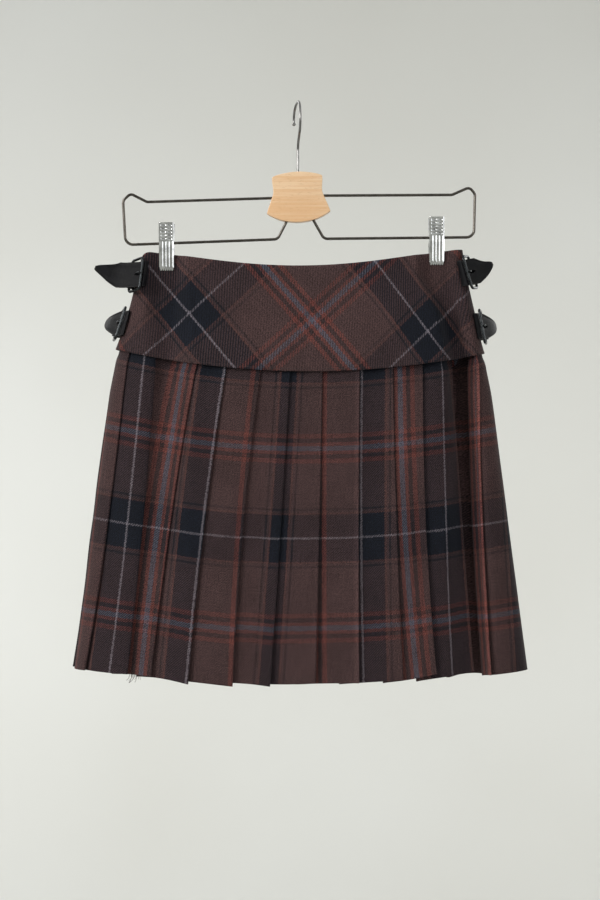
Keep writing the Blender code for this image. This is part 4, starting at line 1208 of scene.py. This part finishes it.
def strap(buckle):
    path = strap_path(buckle)
    rows, maps, worn = [], [], []
    for distance, place, across in path:
        half = strap_half_width(buckle.reach - distance, STRAP_POINTS[buckle.name])
        row = []
        for share in STRAP_COLUMNS:
            spot = place + across * half * share
            if distance < 0:
                spot = spot.lerp(beside_yoke(spot, 0, True, STRAP_WALL), ease(-distance / STRAP_ROOT))
            row.append(spot)
        rows.append(row)
        maps.append([(distance, half * share) for share in STRAP_COLUMNS])
        worn.append([ease(abs(share) * 14 - 13) for share in STRAP_COLUMNS])
    for i in range(1, len(rows)):
        ahead = rows[i][5] - rows[i - 1][5]
        out = path[i][2].cross(ahead).normalized() * buckle.side
        for j, share in enumerate(STRAP_COLUMNS):
            if abs(share) == STRAP_CREASE_AT and path[i][0] > 0:
                rows[i][j] = rows[i][j] + out * STRAP_CREASE
    if buckle.side > 0:
        rows, maps, worn = ([row[::-1] for row in table] for table in (rows, maps, worn))
    name = "strap_" + buckle.name
    obj = wall_object(
        name + "_leather", rows, maps, STRAP_WALL, LEATHER, worn, rounded=STRAP_EDGE, even=False
    )
    hole_at = buckle.reach - STRAP_HOLE_FROM_TIP
    for at, length, width in (
        (hole_at, STRAP_HOLE_RADIUS * 2, STRAP_HOLE_RADIUS * 2),
        (PRONG_SLOT_AT, PRONG_SLOT_LENGTH, PRONG_SLOT_WIDTH),
    ):
        i = min(range(1, len(path)), key=lambda k: abs(path[k][0] - at))
        punch(obj, path[i][1], (path[i][1] - path[i - 1][1]).normalized(), path[i][2], length, width)
    smooth(obj, 40)
    stands_for(obj, name)


for each in BUCKLES:
    strap(each)

# Chapes
# A leather tab wraps each buckle's far bar and is sewn down along the back yoke with two rows of thread.
FRAME_LENGTH = 20.0
CHAPE_WALL = 1.4
CHAPE_WIDTH = 25.0
CHAPE_CLEARANCE = 0.5
CHAPE_LEAD = 5.0
CHAPE_STEPS = 12
CHAPE_BENDS = 12
CHAPE_EDGE = 0.4
CHAPE_COLUMNS = (-1.0, -0.9, -0.8, -0.4, 0.0, 0.4, 0.8, 0.9, 1.0)
CHAPE_STITCH_ROWS = (CHAPE_BENDS + 3, CHAPE_BENDS + CHAPE_STEPS)
CHAPE_FIRST_SEED = 20


def chape(buckle, seed):
    """The tab round the far bar, each of its edges laid on the yoke at its own height, and its stitches."""
    along, outward, up = buckle_frame_axes(buckle)
    heel = bar_of(buckle) + along * FRAME_LENGTH
    wrap = FRAME_WIRE + CHAPE_CLEARANCE + CHAPE_WALL / 2
    columns = []
    for share in CHAPE_COLUMNS:
        middle = heel + up * CHAPE_WIDTH / 2 * share
        column = []
        for i in range(CHAPE_BENDS + 1):
            angle = math.radians(90 - 180 * i / CHAPE_BENDS)
            column.append(middle - wrap * (along * math.cos(angle) - outward * math.sin(angle)))
        end = column[-1]
        for i in range(CHAPE_STEPS + 1):
            ahead = CHAPE_LEAD + buckle.tab * i / CHAPE_STEPS
            column.append(beside_yoke(end, buckle.side * ahead, False, CHAPE_WALL))
        columns.append(column)
    rows = [list(row) for row in zip(*columns)]
    maps = [[(i * 2.0, share * CHAPE_WIDTH / 2) for share in CHAPE_COLUMNS] for i in range(len(rows))]
    worn = [[ease(abs(share) * 10 - 9) for share in CHAPE_COLUMNS] for _ in rows]
    if buckle.side > 0:
        rows, maps = [row[::-1] for row in rows], [row[::-1] for row in maps]
    name = "chape_" + buckle.name
    obj = wall_object(name + "_leather", rows, maps, CHAPE_WALL, LEATHER, worn, rounded=CHAPE_EDGE)
    stands_for(obj, name)
    lines = []
    for index in CHAPE_STITCH_ROWS:
        line = []
        for j in range(1, len(CHAPE_COLUMNS) - 1):
            run = (rows[index][j] - rows[index - 1][j]).normalized()
            rise = (rows[index][j + 1] - rows[index][j - 1]).normalized()
            out = run.cross(rise).normalized()
            out = out if out.y + out.x * buckle.side > 0 else -out
            line.append(rows[index][j] + out * CHAPE_WALL / 2)
        lines.append(line)
    stitches(name + "_stitches", lines, LEATHER_THREAD, seed, 0.08)


for number, each in enumerate(BUCKLES):
    chape(each, CHAPE_FIRST_SEED + number)

# Buckles
# Single-loop frames bent from round wire in a dark, polished metal, each with a prong that lies over the
# far bar, comes up through the strap's slot and rests on the near bar.
FRAME_CORNER = 4.0
FRAME_CORNER_STEPS = 8
PRONG_WIRE = 1.0
ProngSpot = namedtuple("ProngSpot", "name along sink share")
PRONG_SPOTS = (
    ProngSpot("tip", -1.6, 0.3, 0.55),
    ProngSpot("behind tip", -1.0, 0.15, 0.8),
    ProngSpot("near bar", 0.6, 0.0, 0.95),
    ProngSpot("over strap", 5.0, 0.2, 1.0),
    ProngSpot("in slot", 10.5, 2.4, 1.0),
    ProngSpot("heel", 15.6, 3.2, 1.0),
    ProngSpot("in the chape", 17.6, 3.0, 1.0),
)


def round_wire(tree, curve, radius, sides, scale=1.0):
    """A round wire or thread along a curve, closed at its ends."""
    circle = node(tree, "GeometryNodeCurvePrimitiveCircle", {"Resolution": sides, "Radius": radius})
    swept = {"Curve": curve, "Profile Curve": circle.outputs[0], "Scale": scale, "Fill Caps": True}
    return node(tree, "GeometryNodeCurveToMesh", swept).outputs[0]


def wire_tree():
    """Round wire along a path, its size at each point scaled by the share kept there."""
    tree, given = new_tree("wire along a path", {"Radius": "Float", "Sides": "Int"})
    path = node(tree, "GeometryNodeMeshToCurve", {"Mesh": given["Geometry"]})
    share = node(tree, "GeometryNodeInputNamedAttribute", {"Name": "share"}, data_type="FLOAT")
    bent = round_wire(tree, path.outputs[0], given["Radius"], given["Sides"], share.outputs[0])
    return end_tree(tree, bent, given["Finish"])


WIRE = wire_tree()


def wire(name, points, radius, finish, node_name, cyclic=False, shares=None, sides=16):
    """A bent wire that takes the place of a node of the frame."""
    obj = path_object(name, [points], cyclic)
    share = obj.data.attributes.new("share", "FLOAT", "POINT")
    share.data.foreach_set("value", shares or [1.0] * len(points))
    run_tree(obj, WIRE, {"Radius": radius * MM, "Sides": sides, "Finish": finish})
    smooth(obj, 50)
    stands_for(obj, node_name)


def metal_material(name, colour, roughness, scratch):
    """Polished metal with faint rubbed patches and fine scratches."""
    made, tree, shader = new_material(name, colour, roughness, 1.0)
    place = node(tree, "ShaderNodeTexCoord").outputs["Object"]
    patches = noise_at(tree, place, 140.0, 3.0)
    dim = tuple(value * 0.72 for value in colour[:3]) + (1.0,)
    tree.links.new(mixed(tree, between(tree, patches, 0.35, 0.65), dim, colour), shader.inputs["Base Color"])
    rough = between(tree, patches, 0.3, 0.7, roughness * 0.75, roughness * 1.35)
    tree.links.new(rough, shader.inputs["Roughness"])
    add_bump(tree, shader, streaks_at(tree, place, (900.0, 900.0, 120.0), 3.0), scratch, 0.00005)
    return made


BUCKLE_METAL = metal_material("dark buckle metal", (0.055, 0.06, 0.064, 1.0), 0.26, 0.2)


def rounded_rectangle(length, height, corner):
    """The middle line of a wire frame, starting at its lower left, as (along, up) pairs."""
    points = []
    centres = (
        (length - corner, -height / 2 + corner, -90),
        (length - corner, height / 2 - corner, 0),
        (corner, height / 2 - corner, 90),
        (corner, -height / 2 + corner, 180),
    )
    for x, z, first in centres:
        for i in range(FRAME_CORNER_STEPS + 1):
            angle = math.radians(first + 90 * i / FRAME_CORNER_STEPS)
            points.append((x + corner * math.cos(angle), z + corner * math.sin(angle)))
    return points


def curve_through(points, steps, closed=False):
    """A smooth line through the points, with this many steps from each to the next."""
    if closed:
        ends = [points[-1], *points, points[0], points[1]]
    else:
        ends = [points[0] * 2 - points[1], *points, points[-1] * 2 - points[-2]]
    line = []
    for p0, p1, p2, p3 in zip(ends, ends[1:], ends[2:], ends[3:]):
        for k in range(steps):
            t = k / steps
            bend = (2 * p0 - 5 * p1 + 4 * p2 - p3) * t**2 + (3 * p1 - p0 - 3 * p2 + p3) * t**3
            line.append((2 * p1 + (p2 - p0) * t + bend) / 2)
    return line if closed else [*line, points[-1]]


for each in BUCKLES:
    along, outward, up = buckle_frame_axes(each)
    bar = bar_of(each)
    outline = rounded_rectangle(FRAME_LENGTH, FRAME_HEIGHT, FRAME_CORNER)
    loop = [bar + along * x + up * z for x, z in outline]
    name = "buckle_" + each.name
    wire(name + "_metal", loop, FRAME_WIRE, BUCKLE_METAL, name, cyclic=True)
    rest = FRAME_WIRE + 2 * NEIGHBOUR_GAP + PRONG_WIRE
    spots = [Vector((spot.along, rest - spot.sink, spot.share)) for spot in PRONG_SPOTS]
    line = curve_through(spots, 5)
    points = [bar + along * spot.x + outward * spot.y for spot in line]
    shares = [spot.z for spot in line]
    name = "prong_" + each.name
    wire(name + "_metal", points, PRONG_WIRE, BUCKLE_METAL, name, shares=shares, sides=12)

# Hook
# Steel wire bent to an open hook with a small ball at its tip, its stem let into the wooden plate.
HOOK_WIRE = 1.3
HOOK_RADIUS = 18.0
HOOK_TWIST = 8.0
HOOK_TIP_ANGLE = -1.0
HOOK_TIP_LEAN = 1.6
HOOK_NECK_ANGLE = 236.0
HOOK_STEPS = 48
HOOK_FOOT = -76.0
HookSpot = namedtuple("HookSpot", "y z share")
HOOK_BALL = (
    HookSpot(18.1, -20.7, 0.4),
    HookSpot(18.1, -20.3, 1.0),
    HookSpot(18.1, -19.6, 1.45),
    HookSpot(18.1, -18.8, 1.55),
    HookSpot(18.0, -18.0, 1.3),
    HookSpot(18.0, -17.4, 0.95),
)
HOOK_NECK = (
    HookSpot(-5.6, -36.0, 1.0),
    HookSpot(-2.2, -40.2, 1.0),
    HookSpot(-0.5, -45.0, 1.0),
    HookSpot(0.0, -50.0, 1.0),
    HookSpot(0.0, HOOK_FOOT, 1.0),
)
STEEL = metal_material("bright steel wire", (0.36, 0.355, 0.35, 1.0), 0.2, 0.25)
WIRE_STEEL = metal_material("steel wire", (0.15, 0.135, 0.12, 1.0), 0.2, 0.25)

hook_spots = list(HOOK_BALL)
for i in range(1, HOOK_STEPS + 1):
    angle = math.radians(HOOK_TIP_ANGLE + (HOOK_NECK_ANGLE - HOOK_TIP_ANGLE) * i / HOOK_STEPS)
    z = HOOK_WIRE - HOOK_RADIUS + HOOK_RADIUS * math.sin(angle)
    hook_spots.append(HookSpot(HOOK_RADIUS * math.cos(angle), z, 1.0))
arc_end = Vector((0, hook_spots[-1].y, hook_spots[-1].z))
neck = curve_through([arc_end, *(Vector((0, spot.y, spot.z)) for spot in HOOK_NECK)], 6)
hook_line = [Vector((0, spot.y, spot.z)) for spot in hook_spots] + neck[1:]
hook_shares = [spot.share for spot in hook_spots] + [1.0] * (len(neck) - 1)
twist = Matrix.Rotation(math.radians(HOOK_TWIST), 3, "Z")
leans = [Vector((HOOK_TIP_LEAN * ease(point.y / HOOK_RADIUS), 0, 0)) for point in hook_line]
hook_line = [twist @ point - lean for point, lean in zip(hook_line, leans)]
name = "hanger_hook"
wire(name + "_steel", hook_line, HOOK_WIRE, STEEL, name, shares=hook_shares, sides=20)

# Wire loops
# Two loops of bent steel wire, one on each side, that run out from the plate, over a raised corner at the
# end, and back through the clip to the plate's foot.
LOOP_WIRE = 1.4
Corner = namedtuple("Corner", "x z radius")
LOOPS = {
    "left": (
        Corner(-18.0, -94.9, 0.0),
        Corner(-151.0, -99.0, 6.0),
        Corner(-167.5, -90.6, 5.0),
        Corner(-174.9, -97.5, 6.0),
        Corner(-172.4, -141.9, 8.0),
        Corner(-20.5, -136.3, 6.0),
        Corner(-9.0, -114.0, 0.0),
    ),
    "right": (
        Corner(18.0, -92.7, 0.0),
        Corner(154.0, -91.9, 6.0),
        Corner(171.5, -84.2, 5.0),
        Corner(177.0, -91.0, 6.0),
        Corner(176.0, -134.3, 8.0),
        Corner(26.0, -135.8, 6.0),
        Corner(13.0, -113.0, 0.0),
    ),
}


def bent_points(corners, steps=10):
    """Points along straight runs in the hanger's plane with an arc at each corner."""
    points = []
    for i, corner in enumerate(corners):
        here = Vector((corner.x, 0, corner.z))
        if corner.radius == 0:
            points.append(here)
            continue
        back = (Vector((corners[i - 1].x, 0, corners[i - 1].z)) - here).normalized()
        on = (Vector((corners[i + 1].x, 0, corners[i + 1].z)) - here).normalized()
        half = back.angle(on) / 2
        reach = corner.radius / math.tan(half)
        centre = here + (back + on).normalized() * corner.radius / math.sin(half)
        start = (here + back * reach - centre).normalized()
        end = (here + on * reach - centre).normalized()
        for k in range(steps + 1):
            points.append(centre + start.slerp(end, k / steps) * corner.radius)
    return points


for side, corners in LOOPS.items():
    name = "hanger_wire_" + side
    wire(name + "_steel", bent_points(corners), LOOP_WIRE, WIRE_STEEL, name, sides=20)

# Plate
# A lacquered beech plate, cut to shape and rounded over, drilled for the hook's stem and for the four ends
# of the wire loops. Its grain runs across it.
PLATE_THICK = 13.0
PLATE_TILT = -2.5
PLATE_EDGE = 1.6
PLATE_STEPS = 6
HOLE_CLEARANCE = 0.35
HOLE_DEPTH = 1.5
HOLE_CUTTER_LENGTH = 20.0
PlateEdge = namedtuple("PlateEdge", "x z")
PLATE_OUTLINE = (
    PlateEdge(0.0, -69.2),
    PlateEdge(14.0, -70.6),
    PlateEdge(23.5, -73.2),
    PlateEdge(25.2, -76.5),
    PlateEdge(24.4, -88.0),
    PlateEdge(26.2, -95.0),
    PlateEdge(31.0, -107.5),
    PlateEdge(30.0, -111.0),
    PlateEdge(17.0, -117.2),
    PlateEdge(0.0, -119.6),
)


def beech_material():
    """Pale beech under clear lacquer: long wavering grain lines, short dark flecks, and painted shade that
    makes its lower part darker and warmer.
    """
    made, tree, shader = new_material("lacquered beech", (0.68, 0.42, 0.22, 1.0), 0.42)
    shader.inputs["Coat Weight"].default_value = 0.25
    shader.inputs["Coat Roughness"].default_value = 0.25
    place = node(tree, "ShaderNodeTexCoord").outputs["Object"]
    grain = streaks_at(tree, place, (16.0, 60.0, 330.0), 5.0)
    lines = between(tree, grain, 0.36, 0.66)
    colour = mixed(tree, lines, (0.93, 0.66, 0.42, 1.0), (0.86, 0.55, 0.31, 1.0))
    fleck = streaks_at(tree, place, (230.0, 230.0, 1500.0), 1.0)
    shown = between(tree, fleck, 0.6, 0.72, 0.0, 0.35)
    colour = mixed(tree, shown, colour, (0.6, 0.34, 0.16, 1.0))
    height = node(tree, "ShaderNodeSeparateXYZ", {0: place}).outputs["Z"]
    # Painted shade: the lower part of the plate is darkened and warmed, as shade on its rounded foot.
    low = between(tree, height, -0.115, -0.08, 0.35, 0.0)
    colour = mixed(tree, low, colour, (0.84, 0.47, 0.22, 1.0))
    tree.links.new(colour, shader.inputs["Base Color"])
    add_bump(tree, shader, grain, 0.12, 0.0002)
    return made


def drill(obj, middle, way, length, radius):
    """Drills a round hole along its way."""
    shape = bmesh.new()
    bmesh.ops.create_cone(
        shape, cap_ends=True, segments=20, radius1=radius * MM, radius2=radius * MM, depth=length * MM
    )
    turn = way.to_track_quat("Z", "Y").to_matrix().to_4x4()
    bmesh.ops.transform(shape, matrix=Matrix.Translation(middle * MM) @ turn, verts=shape.verts)
    cut_away(obj, shape)


def plate():
    middle_z = (PLATE_OUTLINE[0].z + PLATE_OUTLINE[-1].z) / 2
    right = [(edge.x, edge.z - middle_z) for edge in PLATE_OUTLINE]
    left = [(-x, z) for x, z in right[-2:0:-1]]
    tilt = Matrix.Rotation(math.radians(PLATE_TILT), 3, "Y")
    around = curve_through([Vector(spot) for spot in right + left], PLATE_STEPS, closed=True)
    outline = [tilt @ Vector((spot.x, 0, spot.y)) for spot in around]
    shape = bmesh.new()
    front = [shape.verts.new((point + Vector((0, -PLATE_THICK / 2, middle_z))) * MM) for point in outline]
    face = shape.faces.new(front)
    raised = bmesh.ops.extrude_face_region(shape, geom=[face])["geom"]
    moved = [part for part in raised if isinstance(part, bmesh.types.BMVert)]
    bmesh.ops.translate(shape, verts=moved, vec=(0, PLATE_THICK * MM, 0))
    bmesh.ops.recalc_face_normals(shape, faces=shape.faces)
    obj = add_shape("hanger_plate_wood", shape)
    obj.data.materials.append(beech_material())
    round_over = obj.modifiers.new("Round over", "BEVEL")
    round_over.width = PLATE_EDGE * MM
    round_over.segments = 5
    round_over.limit_method = "ANGLE"
    round_over.angle_limit = math.radians(60)
    plain_mesh(obj)
    ends = [(Vector((0, 0, HOOK_FOOT)), Vector((0, 0, 1)), HOOK_WIRE)]
    for corners in LOOPS.values():
        for inner, outer in ((corners[0], corners[1]), (corners[-1], corners[-2])):
            inner = Vector((inner.x, 0, inner.z))
            ends.append((inner, (Vector((outer.x, 0, outer.z)) - inner).normalized(), LOOP_WIRE))
    for foot, way, radius in ends:
        middle = foot + way * (HOLE_CUTTER_LENGTH - HOLE_DEPTH) / 2
        drill(obj, middle, way, HOLE_CUTTER_LENGTH + HOLE_DEPTH, radius + HOLE_CLEARANCE)
    smooth(obj, 40)
    stands_for(obj, "hanger_plate")


plate()

# Clips
# Each clip is two jaws pressed from chromed steel, ribbed for the thumb at the top, fluted below and toothed
# at the foot, that turn on the wire and are closed by a coil of spring wire round it.
Jaw = namedtuple("Jaw", "name at out flange")
JAW_ROWS = (
    Jaw("teeth", -27.8, 3.85, 0.05),
    Jaw("grip", -24.0, 4.0, 0.05),
    Jaw("waist", -9.0, 5.9, 0.2),
    Jaw("below wire", -4.5, 6.5, 4.6),
    Jaw("shoulder", 4.5, 7.2, 5.6),
    Jaw("thumb", 13.0, 8.4, 1.6),
    Jaw("thumb edge", 20.3, 9.2, 0.05),
)
JAW_PLATE = 0.9
JAW_HALF_WIDTH = 7.75
JAW_EDGE = 0.25
JAW_CORNER = 0.9
JAW_ROW_STEP = 0.42
JAW_COLUMNS = 44
THUMB_FOOT = 2.8
THUMB_TOP = 19.4
THUMB_RIBS = 5
THUMB_HALF_WIDTH = 5.8
THUMB_DEPTH = 1.15
THUMB_EDGE = 1.1
THUMB_MIDDLE = 0.9
THUMB_SPINE = 0.7
FLUTES = 4
FLUTE_HALF_WIDTH = 6.6
FLUTE_DEPTH = 0.55
FLUTE_FOOT = -24.4
FLUTE_TOP = THUMB_FOOT - 0.6
TEETH = 7
TOOTH_DEPTH = 1.5
TOOTH_BEND = 0.9
Clip = namedtuple("Clip", "name x wire_z")
CLIPS = (Clip("left", -131.2, -140.4), Clip("right", 138.5, -134.7))
SPRING_RADIUS = 3.2
SPRING_WIRE = 0.62
SPRING_HALF_LENGTH = 4.3
SPRING_TURNS = 6
SPRING_TURN_STEPS = 24
SPRING_LEG_DROP = 9.0
SPRING_LEG_OUT = 4.2
CHROME = metal_material("chrome", (0.86, 0.87, 0.88, 1.0), 0.12, 0.12)


def jaw_relief(x, up):
    """How far the pressed pattern stands out at a place on the jaw's face."""
    relief = 0.0
    if THUMB_FOOT < up < THUMB_TOP and abs(x) < THUMB_HALF_WIDTH:
        turn = (up - THUMB_FOOT) / (THUMB_TOP - THUMB_FOOT) * THUMB_RIBS
        spine = 1 - THUMB_SPINE * math.exp(-((x / THUMB_MIDDLE) ** 2))
        column = ease((THUMB_HALF_WIDTH - abs(x)) / THUMB_EDGE) * spine
        relief -= THUMB_DEPTH * column * math.sin(math.pi * turn) ** 2
    if FLUTE_FOOT < up < FLUTE_TOP and abs(x) < FLUTE_HALF_WIDTH:
        turn = (x + FLUTE_HALF_WIDTH) / (2 * FLUTE_HALF_WIDTH) * FLUTES
        fade = ease((FLUTE_TOP - up) / 1.5) * ease((up - FLUTE_FOOT) / 1.2)
        relief += FLUTE_DEPTH * fade * (abs(math.sin(math.pi * turn)) ** 0.7 - 0.6)
    return relief


def jaw(name, clip, side):
    """One jaw: its plate with the pressed pattern, the flanges bent in at its sides, and its teeth."""
    rows, maps = [], []
    foot, top = JAW_ROWS[0].at, JAW_ROWS[-1].at
    count = round((top - foot) / JAW_ROW_STEP)
    for i in range(count + 1):
        up = foot + (top - foot) * i / count
        out = straight_value(JAW_ROWS, "out", up)
        flange = max(straight_value(JAW_ROWS, "flange", up), 0.1)
        half = JAW_HALF_WIDTH - JAW_PLATE / 2
        bend = out - JAW_CORNER
        section = [(-half, bend - flange), (-half, bend - flange / 2), (-half, bend)]
        section += [(-half + JAW_CORNER * 0.3, out - JAW_CORNER * 0.3)]
        for k in range(JAW_COLUMNS + 1):
            x = (half - JAW_CORNER) * (2 * k / JAW_COLUMNS - 1)
            section.append((x, out + jaw_relief(x, up)))
        section += [(-x, y) for x, y in section[3::-1]]
        row = []
        for x, y in section:
            low = ease((FLUTE_FOOT - up) / (FLUTE_FOOT - foot))
            tooth = TOOTH_DEPTH * abs((x / JAW_HALF_WIDTH * TEETH) % 2 - 1) * low
            row.append(Vector((clip.x + x, side * (y - TOOTH_BEND * low), clip.wire_z + up + tooth)))
        rows.append(row)
        maps.append([(x, up) for x, _ in section])
    if side < 0:
        rows, maps = [row[::-1] for row in rows], [row[::-1] for row in maps]
    obj = wall_object(name + "_chrome", rows, maps, JAW_PLATE, CHROME, rounded=JAW_EDGE)
    stands_for(obj, name)


def coil_line(clip):
    """The middle of the spring's wire: a coil round the loop's wire with a leg pressed into each jaw."""
    line = []
    steps = SPRING_TURNS * SPRING_TURN_STEPS
    for i in range(steps + 1):
        turn = math.tau * i / SPRING_TURN_STEPS
        x = clip.x + SPRING_HALF_LENGTH * (2 * i / steps - 1)
        y, z = SPRING_RADIUS * math.cos(turn), SPRING_RADIUS * math.sin(turn)
        line.append(Vector((x, y, clip.wire_z + z)))
    legs = []
    for k, y in ((0, SPRING_LEG_OUT), (-1, -SPRING_LEG_OUT)):
        legs.append(Vector((line[k].x, y, clip.wire_z - SPRING_LEG_DROP)))
    return [legs[0], *line, legs[1]]


for each in CLIPS:
    jaw(f"clip_{each.name}_front", each, -1)
    jaw(f"clip_{each.name}_back", each, 1)
    spring = f"clip_{each.name}_spring"
    wire(spring + "_wire", coil_line(each), SPRING_WIRE, CHROME, spring, sides=8)

# Loose threads
# A few brown yarns that have worked out of the hem, on the third pleat beside the second one's fold.
TUFT_PLEAT = 2
TUFT_LEFT = -168.0
TUFT_RIGHT = -157.0
TUFT_ROOT = 2.0


def tuft_tree():
    """Bent threads that hang from a line, each of its own length and lean."""
    sizes = {"Count": "Int", "Length": "Float", "Thread": "Float", "Lean": "Float", "Seed": "Int"}
    tree, given = new_tree("threads that hang from a line", sizes)
    path = node(tree, "GeometryNodeMeshToCurve", {"Mesh": given["Geometry"]})
    roots = node(tree, "GeometryNodeResampleCurve", {"Curve": path.outputs[0], "Count": given["Count"]})
    drop = maths(tree, "MULTIPLY", given["Length"], -1.0)
    aside = maths(tree, "MULTIPLY", given["Length"], 0.3)
    end = node(tree, "ShaderNodeCombineXYZ", {0: 0.0, 2: drop})
    bend = node(tree, "ShaderNodeCombineXYZ", {0: aside, 2: maths(tree, "MULTIPLY", drop, 0.5)})
    ends = {"Start": (0.0, 0.0, 0.0), "Middle": bend.outputs[0], "End": end.outputs[0]}
    droop = node(tree, "GeometryNodeCurveQuadraticBezier", {"Resolution": 6, **ends})
    thread = round_wire(tree, droop.outputs[0], given["Thread"], 5)
    turn = stray_turn(tree, given["Lean"], given["Seed"])
    size = node(tree, "FunctionNodeRandomValue", {2: 0.5, 3: 1.2, "Seed": given["Seed"]}, data_type="FLOAT")
    hanging = {"Points": roots.outputs[0], "Instance": thread, "Rotation": turn, "Scale": size.outputs[1]}
    hung = node(tree, "GeometryNodeInstanceOnPoints", hanging)
    return end_tree(tree, hung.outputs[0], given["Finish"])


LOOSE_YARN = new_material("loose yarn", linear(70, 56, 54), 0.85)[0]
tuft_edge = pleat_table[-1][TUFT_PLEAT][0][:FACE_STEPS]
tuft_roots = [point + Vector((0, 0, TUFT_ROOT)) for point in tuft_edge if TUFT_LEFT < point.x < TUFT_RIGHT]
tuft = path_object("hem_threads", [tuft_roots])
tuft_sizes = {"Count": 13, "Length": 10.0 * MM, "Thread": 0.2 * MM, "Lean": 0.6, "Seed": 4}
run_tree(tuft, tuft_tree(), {**tuft_sizes, "Finish": LOOSE_YARN})
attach(tuft, "root")
